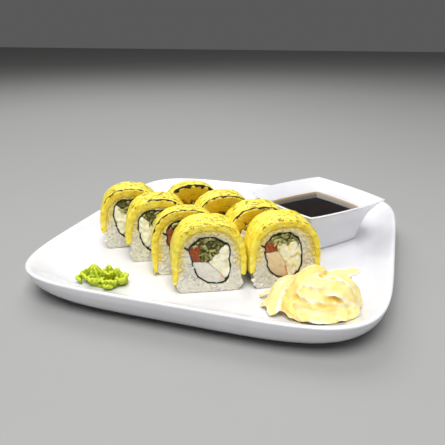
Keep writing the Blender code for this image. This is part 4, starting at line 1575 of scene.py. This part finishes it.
@dataclass
class FillingSet:
    """The four fillings of a slice: cream cheese, cucumber, salmon and crab stick.

    The salmon's bands of fat are fat_spacing apart. shreds is the cucumber's number on a cut face,
    with ranges of their half length, width and thickness in millimetres.
    """

    shape: SliceShape
    fat_spacing: float = 2.4 * MM
    shreds: int = 40
    shred_long: tuple = (1.2, 2.9)
    shred_wide: tuple = (0.5, 0.85)
    shred_thick: tuple = (0.36, 0.6)

    def build(self) -> None:
        """Build all four."""
        self.build_cream()
        self.build_crab()
        self.build_salmon()
        self.build_cucumber()

    def build_cream(self) -> None:
        """The cream cheese, which swells out softly beside the others."""
        lay, shape = self.shape.spec.fillings, self.shape
        inside = [lay.tongue, lay.meet, lay.bulge] if lay.by_salmon else [lay.tongue, lay.bulge]
        line = softened(Region(shape, lay.cream, lay.cucumber, inside).outline(), 3)
        filling = Filling(shape, -0.15 * MM, 0.45 * MM, 0.22 * MM, lump_size=3.4 * MM, edge=0.7 * MM)
        points, place = filling.body(line, shape.seed + 70)
        yellow = smoothstep(0.4, 1.5, SmoothField(shape.seed + 71, 4 * MM)(place)) * (0.3 + 0.6 * lay.tan)
        name = shape.node("cream_cheese")
        Form().sheet(points, yellow=yellow).make(f"{name}_soft", CreamCheese(), "cream_cheese", [name])

    def build_crab(self) -> None:
        """The crab stick, smooth, with its orange skin along the side to the cream cheese."""
        lay, shape = self.shape.spec.fillings, self.shape
        inside = [lay.bulge, lay.meet] if lay.by_salmon else [lay.bulge, lay.tongue, lay.meet]
        line = softened(Region(shape, lay.crab, lay.cream + 360, inside).outline(), 3)
        filling = Filling(shape, -0.2 * MM, 0.5 * MM, 0.05 * MM, edge=0.8 * MM)
        points, place = filling.body(line, shape.seed + 74)
        side = -1.0 if shape.spec.mirrored else 1.0
        first = np.asarray(lay.bulge) * MM
        cream = math.radians(lay.cream)
        reach = float(shape.ring_reach(math.pi - cream if side < 0 else cream))
        last = reach * np.array([math.cos(cream), math.sin(cream)])
        along = (last - first) / np.hypot(*(last - first))
        out = np.stack([place[..., 0] * side, place[..., 2]], axis=-1) - first
        near = 0.5 * MM if lay.by_salmon else 2.8 * MM
        away = np.abs(out @ np.array([-along[1], along[0]]))
        skin = (1 - smoothstep(0.5 * MM, 1.3 * MM, away)) * lay.skin
        skin = skin * smoothstep(near, near + 1.5 * MM, out @ along)
        skin = skin * (0.8 + 0.2 * SmoothField(shape.seed + 75, 2 * MM)(place))
        layered = SmoothField(shape.seed + 76, 2.5 * MM)(place * np.array([1.0, 0.2, 2.2]))
        layer = smoothstep(0.5, 1.2, layered) * 0.35
        marks = {"skin": np.clip(skin, 0, 1), "tan": np.full(skin.shape, lay.tan), "layer": layer}
        name = shape.node("surimi")
        Form().sheet(points, **marks).make(f"{name}_pressed", CrabStick(), "crab_stick", [name])

    def build_salmon(self) -> None:
        """The salmon, a sharp block with bands of fat."""
        lay, shape = self.shape.spec.fillings, self.shape
        inside = [lay.meet, lay.tongue, lay.corner] if lay.by_salmon else [lay.meet, lay.corner]
        line = softened(Region(shape, lay.salmon, lay.crab, inside).outline(), 1)
        filling = Filling(shape, -0.35 * MM, 0.15 * MM, 0.12 * MM, lump_size=2.2 * MM, edge=0.35 * MM)
        points, place = filling.body(line, shape.seed + 77)
        sway = SmoothField(shape.seed + 78, 7 * MM)(place) * 0.8 * MM
        bent = place[..., 0] * 0.8 + place[..., 2] * 0.6 + sway
        fat = smoothstep(0.72, 0.95, np.cos(bent / self.fat_spacing * TURN)) * 0.55
        node = "cucumber_salmon" if shape.spec.joined else "salmon"
        form = Form().sheet(points, fat=fat)
        form.make(shape.node("salmon_block"), CuredSalmon(), "salmon", [shape.node(node)], sharp=50.0)

    def build_cucumber(self) -> None:
        """The cucumber: shreds in all directions over a core that lies further back, darkened by painted
        shade.
        """
        lay, shape = self.shape.spec.fillings, self.shape
        inside = [lay.corner, lay.tongue] if lay.by_salmon else [lay.corner, lay.meet, lay.tongue]
        outline = softened(Region(shape, lay.cucumber, lay.salmon, inside).outline(), 2)
        core = Filling(shape, 1.1 * MM, 0.2 * MM, 0.25 * MM, lump_size=2.0 * MM)
        points, _ = core.body(outline, shape.seed + 80)
        # The core is nearly all painted shade.
        form = Form().sheet(points, gap=0.9, skin=0.0)
        for face in (0, 1):
            self.add_shreds(form, outline, face)
        node = "cucumber_salmon" if shape.spec.joined else "cucumber"
        form.make(shape.node("cucumber_shreds"), ShreddedCucumber(), "cucumber", [shape.node(node)])

    def add_shreds(self, form: Form, outline: Points, face: int) -> None:
        """Lay shreds over one cut face of the cucumber.

        Args:
            form: the form that takes them.
            outline: the filling's outline.
            face: 0 for the front and 1 for the back.
        """
        shape, draw = self.shape, self.shape.draw
        centre = outline.mean(axis=0)
        least = -0.55 * MM if shape.spec.torching.curtain < 4 else 0.5 * MM
        corner = circle(8) + math.pi / 8
        square = np.stack([np.cos(corner), np.sin(corner)], axis=-1)
        square = np.sign(square) * np.abs(square) ** 0.6
        faces = tube_faces(8, 8, False)
        for _ in range(self.shreds):
            edge = outline[draw.integers(len(outline))]
            start = centre + (edge - centre) * math.sqrt(draw.uniform(0, 1.12))
            turn, half_long = draw.uniform(0, TURN), draw.uniform(*self.shred_long) * MM
            bend, dive = draw.normal(0, 0.5), draw.normal(0, 0.45)
            wide, thick = draw.uniform(*self.shred_wide) * MM, draw.uniform(*self.shred_thick) * MM
            layer = draw.uniform(-0.45, 1.2) * MM
            part = np.linspace(-1, 1, 8)
            heading = turn + bend * part
            step = np.stack([np.cos(heading), np.sin(heading)], axis=-1) * half_long / 4
            run = np.cumsum(step, axis=0)
            line = self.keep_inside(start + run - run[4])
            depth = np.clip(layer + dive * part * half_long, least, 3.5 * MM)
            across = np.stack([-np.sin(heading), np.cos(heading)], axis=-1)
            shrink = np.where(np.abs(part) > 0.95, 0.82, 1.0)[:, None]
            flat = line[:, None, :] + across[:, None, :] * (square[None, :, :1] * wide * shrink[..., None])
            deep = depth[:, None] + square[None, :, 1] * thick * shrink
            if face:
                deep = shape.length - deep
            points = shape.place(shape.middle[0] + flat[..., 0], deep, shape.middle[1] + flat[..., 1])
            skin = 0.85 if draw.uniform() < 0.22 else draw.uniform(0.0, 0.35)
            # Painted shade: the deeper a shred lies, the darker it is painted.
            gap = float(smoothstep(0.0, 1.1 * MM, layer)) * 0.8
            form.add(points.reshape(-1, 3), faces, gap=gap, skin=skin)

    def keep_inside(self, line: Points) -> Points:
        """Pull points that lie outside the seaweed ring back into it."""
        angle, reach = np.arctan2(line[:, 1], line[:, 0]), np.hypot(line[:, 0], line[:, 1])
        most = self.shape.ring_reach(angle) - 1.3 * MM
        return line * np.minimum(1.0, most / np.maximum(reach, 1e-9))[:, None]


@dataclass
class RollSlice:
    """One slice of the roll, from its rice out."""

    spec: SliceSpec

    def build(self) -> None:
        """Build its rice, seaweed, fillings and cheese."""
        shape = SliceShape(self.spec)
        RiceArch(shape).build()
        SeaweedRing(shape).build()
        FillingSet(shape).build()
        CheeseCover(shape).build()


# Wasabi and ginger


@dataclass(frozen=True)
class Leaf:
    """A curled leaf of the wasabi rosette: millimetres from its middle, and degrees.

    The leaf runs on an arc of that radius from start through sweep, stands high, and leans outwards
    by lean.
    """

    x: float
    y: float
    z: float
    radius: float
    start: float
    sweep: float
    high: float
    lean: float


@dataclass(frozen=True)
class Lump:
    """A ribbed lump of wasabi: millimetres from the rosette's middle, leaning sideways by lean."""

    x: float
    y: float
    radius: float
    high: float
    lean: float


@dataclass(frozen=True)
class WasabiRosette:
    """The squeezed rosette of wasabi: ribbed lumps and thick curled leaves round a low core.

    core holds the low core's half width, half depth and height. voxel is the fineness of the skin
    that is laid over them all.
    """

    middle: tuple = (-50.5 * MM, -80.5 * MM)
    core: tuple = (10.8 * MM, 6.0 * MM, 3.4 * MM)
    thick: float = 2.0 * MM
    voxel: float = 0.30 * MM
    leaves: tuple = (
        Leaf(-11.2, -3.2, 2.2, 2.6, 80, 200, 3.6, 35),
        Leaf(-2.8, -3.6, 3.2, 3.1, 130, 250, 5.2, 24),
        Leaf(6.0, -3.2, 3.4, 3.6, 150, 260, 5.6, 24),
        Leaf(6.6, -5.4, 2.2, 2.8, 190, 150, 3.4, 30),
        Leaf(10.6, 0.6, 3.8, 3.0, -110, 230, 6.2, 26),
        Leaf(3.4, 0.8, 6.0, 2.8, 150, 220, 6.0, 18),
        Leaf(-8.0, -1.6, 4.2, 3.2, 60, 220, 5.6, 24),
    )
    lumps: tuple = (
        Lump(-6.0, 1.8, 5.6, 9.8, -1.0),
        Lump(1.4, 3.6, 3.8, 10.2, 0.6),
        Lump(6.2, 3.4, 3.8, 9.2, 1.2),
        Lump(10.2, 2.4, 3.4, 6.8, 1.6),
    )

    def leaf_rows(self, number: int, leaf: Leaf) -> Points:
        """Rows of points along one leaf.

        Args:
            number: its number, which sets its ruffles.
            leaf: its sizes.

        Returns:
            The points, as rows by columns by 3.
        """
        steps, around = 36, 20
        part = np.linspace(0, 1, steps)
        angle = np.radians(leaf.start + leaf.sweep * part)
        out = np.stack([np.cos(angle), np.sin(angle), np.zeros(steps)], axis=-1)
        lean = math.radians(leaf.lean)
        up = np.array([0.0, 0.0, 1.0]) * math.cos(lean) + out * math.sin(lean)
        side = out * math.cos(lean) - np.array([0.0, 0.0, 1.0]) * math.sin(lean)
        high = leaf.high * MM * (0.6 + 0.4 * np.sin(math.pi * part))
        middle = np.array([*self.middle, TABLE_BASE]) + np.array([leaf.x, leaf.y, leaf.z]) * MM
        place = middle + out * leaf.radius * MM
        place[:, 2] = np.maximum(place[:, 2], TABLE_BASE + 1.2 * MM + high / 2 * math.cos(lean))
        turn = circle(around)
        rise, wide = np.sin(turn), np.cos(turn)
        run = part[:, None] * leaf.sweep
        ruffle = np.sin(run / 16 + number) * smoothstep(-0.4, 1.0, rise)
        ruffle = ruffle + 0.5 * np.sin(run / 6.5 + 2.1 * number) * smoothstep(0.0, 1.0, rise)
        lift = np.sign(rise) * np.abs(rise) ** 0.8 * high[:, None] / 2
        spread = wide * self.thick / 2 * (0.85 + 0.3 * np.abs(rise)) + ruffle * 0.55 * MM
        return place[:, None] + up[:, None] * lift[..., None] + side[:, None] * spread[..., None]

    def lump_rows(self, number: int, lump: Lump) -> Points:
        """Rows of points up one ribbed lump.

        Args:
            number: its number, which turns its ribs.
            lump: its sizes.

        Returns:
            The points, as rows by columns by 3.
        """
        height = np.linspace(0, 0.985, 18)[:, None]
        turn = circle(72)[None]
        ribs = 1 + 0.13 * np.cos(8 * turn + 1.3 * number + 1.5 * height) * smoothstep(0.0, 0.3, height)
        reach = lump.radius * MM * (1 - height**1.7) ** 0.62 * ribs
        x = self.middle[0] + (lump.x + lump.lean * height) * MM + reach * np.cos(turn)
        y = self.middle[1] + lump.y * MM + reach * np.sin(turn) * 0.8
        return np.stack([x, y, (TABLE_BASE + height * lump.high * MM) * np.ones_like(x)], axis=-1)

    def core_rows(self) -> Points:
        """Rows of points of the low core."""
        reach_x, reach_y, high = self.core
        height = np.linspace(0, 0.98, 10)
        wide = np.sqrt(1 - height**2)
        turn = circle(40)
        x = self.middle[0] + reach_x * wide[:, None] * np.cos(turn)
        y = self.middle[1] + reach_y * wide[:, None] * np.sin(turn)
        return np.stack([x, y, (TABLE_BASE + height * high)[:, None] * np.ones_like(x)], axis=-1)

    def build(self) -> None:
        """Build the rosette as one skin over its core, leaves and lumps."""
        form = Form().sheet(self.core_rows())
        for number, leaf in enumerate(self.leaves):
            form.sheet(self.leaf_rows(number, leaf))
        for number, lump in enumerate(self.lumps):
            form.sheet(self.lump_rows(number, lump))
        points, faces = one_skin(form, self.voxel, smooth=3)
        slope = SquarePlate().top_at(points[:, 0], points[:, 1]) + 0.1 * MM
        points[:, 2] = np.maximum(points[:, 2], slope)
        rough = SmoothField(811, 1.7 * MM, 26)(points) * 0.10 * MM
        points = points + normals_of(points, faces) * rough[:, None]
        points[:, 2] = np.maximum(points[:, 2], slope)
        hollow = hollowness(points, faces, 26)
        high = points[:, 2] - slope
        # Painted shade darkens the hollows and the lowest 4 mm. A painted highlight lightens the ridges more
        # than 1 mm up.
        fold = smoothstep(0.02 * MM, 0.30 * MM, hollow) + 0.5 * (1 - smoothstep(0, 4 * MM, high))
        lip = smoothstep(0.05 * MM, 0.32 * MM, -hollow) * smoothstep(1 * MM, 4 * MM, high)
        done = Form().add(points, faces, lip=lip, fold=np.clip(fold, 0, 1) * 0.7)
        done.make("wasabi_rosette", WasabiPaste(), "wasabi_paste", ["wasabi"])


def one_skin(form: Form, voxel: float, smooth: int, close: float = 0.0) -> tuple[Points, list]:
    """Merge overlapping closed bodies into one skin.

    Args:
        form: the bodies.
        voxel: the skin's fineness in metres.
        smooth: how often it is smoothed.
        close: half the width of the gaps that are filled, in metres.

    Returns:
        The skin's points and faces.
    """
    mesh = bpy.data.meshes.new("bodies")
    mesh.from_pydata(np.concatenate(form.points).tolist(), [], form.faces)
    holder = bpy.data.objects.new("bodies", mesh)
    bpy.context.scene.collection.objects.link(holder)
    outward(holder)
    for swell in (close, -close) if close else (0.0,):
        remesh = holder.modifiers.new("one skin", "REMESH")
        remesh.mode = "VOXEL"
        remesh.voxel_size = voxel
        displace = holder.modifiers.new("swell", "DISPLACE")
        displace.strength = swell
        displace.mid_level = 0.0
    soften = holder.modifiers.new("soften", "SMOOTH")
    soften.iterations = smooth
    bpy.context.view_layer.update()
    skin = holder.evaluated_get(bpy.context.evaluated_depsgraph_get()).to_mesh()
    points = np.empty(len(skin.vertices) * 3)
    skin.vertices.foreach_get("co", points)
    faces = [list(face.vertices) for face in skin.polygons]
    bpy.data.objects.remove(holder, do_unlink=True)
    bpy.data.meshes.remove(mesh)
    return points.reshape(-1, 3), faces


def quads_of(faces: list) -> np.ndarray:
    """Four point numbers for each face of a skin, with a triangle's first one twice."""
    return np.array([face if len(face) == 4 else [*face, face[0]] for face in faces])


def normals_of(points: Points, faces: list) -> Points:
    """Unit normals at the points of a skin of quads and triangles."""
    quads = quads_of(faces)
    cross = np.cross(points[quads[:, 2]] - points[quads[:, 0]], points[quads[:, 3]] - points[quads[:, 1]])
    total = np.zeros_like(points)
    for column in range(4):
        np.add.at(total, quads[:, column], cross)
    return total / np.maximum(np.linalg.norm(total, axis=1, keepdims=True), 1e-12)


def hollowness(points: Points, faces: list, times: int) -> np.ndarray:
    """How far each point lies below the skin's average round it.

    Args:
        points: the skin's points.
        faces: its faces.
        times: over how many steps the average runs.

    Returns:
        A height in metres, above 0 in a hollow and below 0 on a ridge.
    """
    quads = quads_of(faces)
    first = np.concatenate([quads[:, i] for i in range(4)])
    second = np.concatenate([quads[:, (i + 1) % 4] for i in range(4)])
    smooth = points.copy()
    for _ in range(times):
        total, count = np.zeros_like(points), np.zeros(len(points))
        np.add.at(total, first, smooth[second])
        np.add.at(total, second, smooth[first])
        np.add.at(count, first, 1)
        np.add.at(count, second, 1)
        smooth = total / np.maximum(count, 1)[:, None]
    return ((smooth - points) * normals_of(points, faces)).sum(axis=1)


@dataclass(frozen=True)
class GingerSlice:
    """One thin slice of ginger, laid over the heap.

    Its middle line runs from start over a highest part to end, in millimetres from the heap's
    middle on the floor. width is in millimetres, and crown is how far it is folded along its middle.
    gold says how much golden painted shade it carries, from 0 to 1.
    """

    start: tuple
    over: tuple
    end: tuple
    width: float
    crown: float
    gold: float


@dataclass(frozen=True)
class GingerHeap:
    """The heap of pickled ginger: thin folded slices over each other and over a low core.

    reach and high are half the core's widths and its height. thick is a slice's thickness, and
    voxel the fineness of the skin that is laid over them all.
    """

    middle: tuple = (67.0 * MM, -67.5 * MM)
    reach: tuple = (19.6 * MM, 18.0 * MM)
    high: float = 18.4 * MM
    thick: float = 1.3 * MM
    voxel: float = 0.42 * MM
    slices: tuple = (
        GingerSlice((-10, 2, 13.0), (-19, 0, 9.5), (-21.5, -10, 3.0), 8.0, 0.8, 0.0),
        GingerSlice((-14, 2, 9.0), (-23, 0, 3.8), (-29, -3, 1.7), 4.5, 0.4, 0.1),
        GingerSlice((-15, -2, 8.0), (-22, -8, 3.4), (-25.5, -13, 1.9), 5.0, 0.4, 0.2),
        GingerSlice((-12, 0, 12.5), (-18.5, -8, 7.8), (-17.5, -19.5, 2.1), 11.0, 0.8, 0.1),
        GingerSlice((-12, 9, 9.0), (0, 14, 9.5), (12, 12, 7.0), 11.0, 1.2, 0.3),
        GingerSlice((5, 10, 13.5), (15, 9, 9.0), (21, 7, 2.6), 10.0, 1.0, 0.3),
        GingerSlice((5, 4, 16.5), (17, 3, 12.5), (22.5, 0, 2.3), 11.0, 1.4, 0.3),
        GingerSlice((4, 2, 16.5), (12, 10, 15.0), (19.5, 17.5, 14.5), 8.5, 0.6, 0.0),
        GingerSlice((-12, -9, 9.0), (-11.5, -15.5, 6.2), (-2, -20, 2.4), 7.5, 1.4, 0.85),
        GingerSlice((-9.5, -12.5, 8.5), (0, -17, 8.8), (13, -13.5, 7.5), 6.5, 1.0, 0.6),
        GingerSlice((-8.6, -8.4, 12.4), (0, -14.5, 12.5), (12, -11, 10.5), 6.5, 1.0, 0.4),
        GingerSlice((12, -13, 8.5), (20, -9.5, 7.0), (19, -14, 3.6), 6.0, 0.6, 0.2),
        GingerSlice((-9, -16.5, 3.4), (2.0, -19.6, 5.2), (13, -16.6, 2.6), 8.5, 1.6, 0.0),
        GingerSlice((-5, -8, 16.6), (12, -8.5, 14.6), (21.4, -3.6, 4.9), 10.5, 2.0, 0.25),
        GingerSlice((-12, 3, 11.5), (-5, 4, 17.6), (3, 6, 18.6), 8.5, 0.8, 0.2),
        GingerSlice((-11.8, -13.4, 8.8), (-6, -5, 17.2), (3, 3, 19.6), 8.0, 1.6, 0.75),
        GingerSlice((6, -10, 10.5), (13, -9.5, 10.5), (18.5, -8, 6.5), 8.5, 1.0, 0.6),
        GingerSlice((8, -12, 6.5), (14.5, -14.2, 5.4), (18.5, -13.5, 2.8), 7.5, 1.2, 0.35),
    )

    def clear(self, points: Points) -> Points:
        """Move points off the slice of roll behind the heap and off the plate."""
        front = SPECS[4]
        turn = math.radians(front.turn)
        away = np.array([math.sin(turn), -math.cos(turn), 0.0])
        space = (points - np.array([front.x * MM, front.y * MM, 0.0])) @ away
        push = np.maximum(0.0, 1.2 * MM - space) * (points[..., 0] < 70 * MM)
        points = points + push[..., None] * away
        slope = SquarePlate().top_at(points[..., 0], points[..., 1])
        points[..., 2] = np.maximum(points[..., 2], slope + 0.25 * MM)
        return points

    def path(self, piece: GingerSlice, part: np.ndarray) -> Points:
        """Points along the middle of a slice."""
        start, over, end = (np.asarray(place) * MM for place in (piece.start, piece.over, piece.end))
        pull = over * 2 - (start + end) / 2
        part = part[:, None]
        line = start * (1 - part) ** 2 + pull * (2 * part * (1 - part)) + end * part**2
        return line + np.array([*self.middle, TABLE_BASE])

    def add_slice(self, form: Form, number: int, piece: GingerSlice) -> None:
        """Add one thin folded slice to the heap.

        Args:
            form: the form that takes it.
            number: its number, which sets its waves.
            piece: its sizes.
        """
        steps, wide_steps = 34, 15
        part = np.linspace(0, 1, steps)
        middle = self.path(piece, part)
        ahead = np.gradient(middle, axis=0)
        ahead /= np.linalg.norm(ahead, axis=1, keepdims=True)
        out = (middle - np.array([*self.middle, 0.0])) * np.array([0.5, 0.5, 0.0])
        up = np.array([0.0, 0.0, 12 * MM]) + out
        up /= np.linalg.norm(up, axis=1, keepdims=True)
        across = np.cross(ahead, up)
        across /= np.linalg.norm(across, axis=1, keepdims=True)
        lift = np.cross(across, ahead)
        width = piece.width * MM * (0.18 + 0.82 * np.sin(math.pi * (0.03 + 0.94 * part)) ** 0.5)
        side = np.linspace(-1, 1, wide_steps)
        crown = piece.crown * MM * np.sin(math.pi * part)[:, None] * (1 - side**2)[None]
        ripple = SmoothField(900 + number, 1.0, 14, 2)
        grid = np.stack(np.meshgrid(part * 3.2, side * 1.1, indexing="ij"), axis=-1)
        wave = ripple(grid) * 0.4 * MM * (0.35 + 0.65 * np.abs(side))[None]
        rag = 1 + 0.10 * SmoothField(930 + number, 0.6, 12, 2)(grid)
        base = middle[:, None] + across[:, None] * (side * rag)[..., None] * width[:, None, None] / 2
        base = base + lift[:, None] * (crown + wave)[..., None]
        thin = self.thick / 2 * np.sqrt(1 - 0.85 * np.abs(side) ** 4)[None, :, None]
        upper = base + lift[:, None] * thin
        lower = (base - lift[:, None] * thin)[:, ::-1]
        rows = self.clear(np.concatenate([upper, lower[:, 1:-1]], axis=1))
        rims = np.concatenate([np.abs(side), np.abs(side[::-1][1:-1])])
        edge = smoothstep(0.55, 1.0, rims)[None] * np.ones((steps, 1))
        run = np.concatenate([side, side[::-1][1:-1]])[None] * np.ones((steps, 1))
        along = part[:, None] * 6 * MM * np.ones_like(run)
        fibre = np.stack([along, run * piece.width * MM / 2, np.full(run.shape, number)], axis=-1)
        # The slice's golden painted shade, weaker towards its pale edges.
        gold = piece.gold * (1 - 0.6 * edge)
        form.sheet(rows, edge=edge * (1 - 0.7 * piece.gold), fibre=fibre, fold=gold)

    def build(self) -> None:
        """Build the heap: its core and all slices, grown together into one wet skin."""
        form = Form()
        height = np.linspace(0, 0.985, 14)
        wide = np.sqrt(1 - height**2)
        turn = circle(56)
        x = self.middle[0] + self.reach[0] * 0.95 * wide[:, None] * np.cos(turn)
        y = self.middle[1] + self.reach[1] * 0.95 * wide[:, None] * np.sin(turn)
        core = np.stack([x, y, (TABLE_BASE + height * self.high)[:, None] * np.ones_like(x)], axis=-1)
        core[..., 2] += SmoothField(881, 6 * MM)(core) * 0.5 * MM * (height > 0)[:, None]
        # The core, seen through the gaps between slices, carries golden painted shade.
        form.sheet(self.clear(core), edge=0.0, fibre=core, fold=np.full(core.shape[:2], 0.55))
        for number, piece in enumerate(self.slices):
            self.add_slice(form, number, piece)
        points, faces = one_skin(form, self.voxel, smooth=3, close=1.0 * MM)
        near = nearest_points(np.concatenate(form.points), points)
        marks = {name: np.concatenate(values)[near] for name, values in form.marks.items()}
        # Painted shade: hollows get more of the golden fold colour and lose the white edge.
        hollow = hollowness(points, faces, 10)
        deep = smoothstep(0.05 * MM, 0.45 * MM, hollow)
        fold = np.clip(marks["fold"][:, 0] * 0.7 + 0.6 * deep, 0, 1)
        edge = marks["edge"][:, 0] * (1 - deep)
        done = Form().add(points, faces, edge=edge, fibre=marks["fibre"], fold=fold)
        done.make("pickled_ginger_slices", PickledGingerFlesh(), "pickled_ginger", ["pickled_ginger"])


def nearest_points(table: Points, places: Points) -> np.ndarray:
    """The number of the nearest point of a table for each place."""
    tree = KDTree(len(table))
    for number, point in enumerate(table):
        tree.insert(point, number)
    tree.balance()
    return np.array([tree.find(place)[1] for place in places])


# Studio


@dataclass(frozen=True)
class Studio:
    """The pale floor, the soft lights and the camera.

    Each light has a name, its place, the point that it faces, its side in metres and its watts.
    """

    lights: tuple = (
        ("key", (-0.40, 0.50, 0.95), (0.0, 0.0, 0.0), 0.9, 7.2),
        ("front_fill", (0.14, -0.54, 1.02), (0.0, 0.0, 0.02), 0.7, 13.0),
        ("top", (0.15, -0.05, 1.2), (0.0, 0.0, 0.0), 1.2, 2.0),
    )
    world_strength: float = 0.10
    floor_half: float = 3.0
    lens: float = 40.75
    sensor: float = 36.0
    camera_place: tuple = (94.1 * MM, -300.0 * MM, 145.9 * MM)
    pitch: float = 21.34
    yaw: float = 18.51
    roll: float = 0.2

    def build(self) -> None:
        """Build floor, world, lights and camera."""
        self.build_floor()
        self.build_world()
        for light in self.lights:
            self.add_light(*light)
        self.build_camera()

    def build_floor(self) -> None:
        """Lay the pale paper."""
        mesh = bpy.data.meshes.new("paper")
        half = self.floor_half
        corners = [(-half, -half, 0.0), (half, -half, 0.0), (half, half, 0.0), (-half, half, 0.0)]
        mesh.from_pydata(corners, [], [(0, 1, 2, 3)])
        mesh.materials.append(StudioPaper().material())
        paper = bpy.data.objects.new("paper", mesh)
        bpy.context.scene.collection.objects.link(paper)

    def build_world(self) -> None:
        """Set the even light from all round."""
        world = bpy.data.worlds.new("studio")
        world.use_nodes = True
        world.node_tree.nodes["Background"].inputs["Color"].default_value = linear("#FFFFFF")
        world.node_tree.nodes["Background"].inputs["Strength"].default_value = self.world_strength
        bpy.context.scene.world = world
        bpy.context.scene.view_settings.view_transform = "Standard"

    def add_light(self, name: str, place: tuple, target: tuple, size: float, power: float) -> None:
        """Hang one square soft light.

        Args:
            name: its name.
            place: where it hangs.
            target: the point that it faces.
            size: its side in metres.
            power: its power in watts.
        """
        lamp = bpy.data.lights.new(name, "AREA")
        lamp.size = size
        lamp.energy = power
        holder = bpy.data.objects.new(name, lamp)
        holder.location = place
        away = np.asarray(place) - np.asarray(target)
        flat = math.hypot(away[0], away[1])
        holder.rotation_euler = (math.atan2(flat, away[2]), 0.0, math.atan2(away[0], -away[1]))
        bpy.context.scene.collection.objects.link(holder)

    def build_camera(self) -> None:
        """Place the camera as in the photograph."""
        data = bpy.data.cameras.new("camera")
        data.lens = self.lens
        data.sensor_width = self.sensor
        data.clip_start = 0.01
        camera = bpy.data.objects.new("camera", data)
        camera.location = self.camera_place
        aim = Euler((math.radians(90 - self.pitch), 0.0, math.radians(self.yaw)), "XYZ").to_matrix()
        tip = Euler((0.0, 0.0, math.radians(-self.roll)), "XYZ").to_matrix()
        camera.rotation_euler = (aim @ tip).to_euler("XYZ")
        bpy.context.scene.collection.objects.link(camera)
        bpy.context.scene.camera = camera


def main() -> None:
    """Build the platter, piece by piece, and the studio round it."""
    logging.basicConfig(level=logging.INFO, format="%(name)s: %(message)s")
    Studio().build()
    SquarePlate().build()
    dish = SauceDish()
    dish.build()
    SoySauce(dish).build()
    for spec in SPECS:
        RollSlice(spec).build()
    WasabiRosette().build()
    GingerHeap().build()


if __name__ == "__main__":
    main()
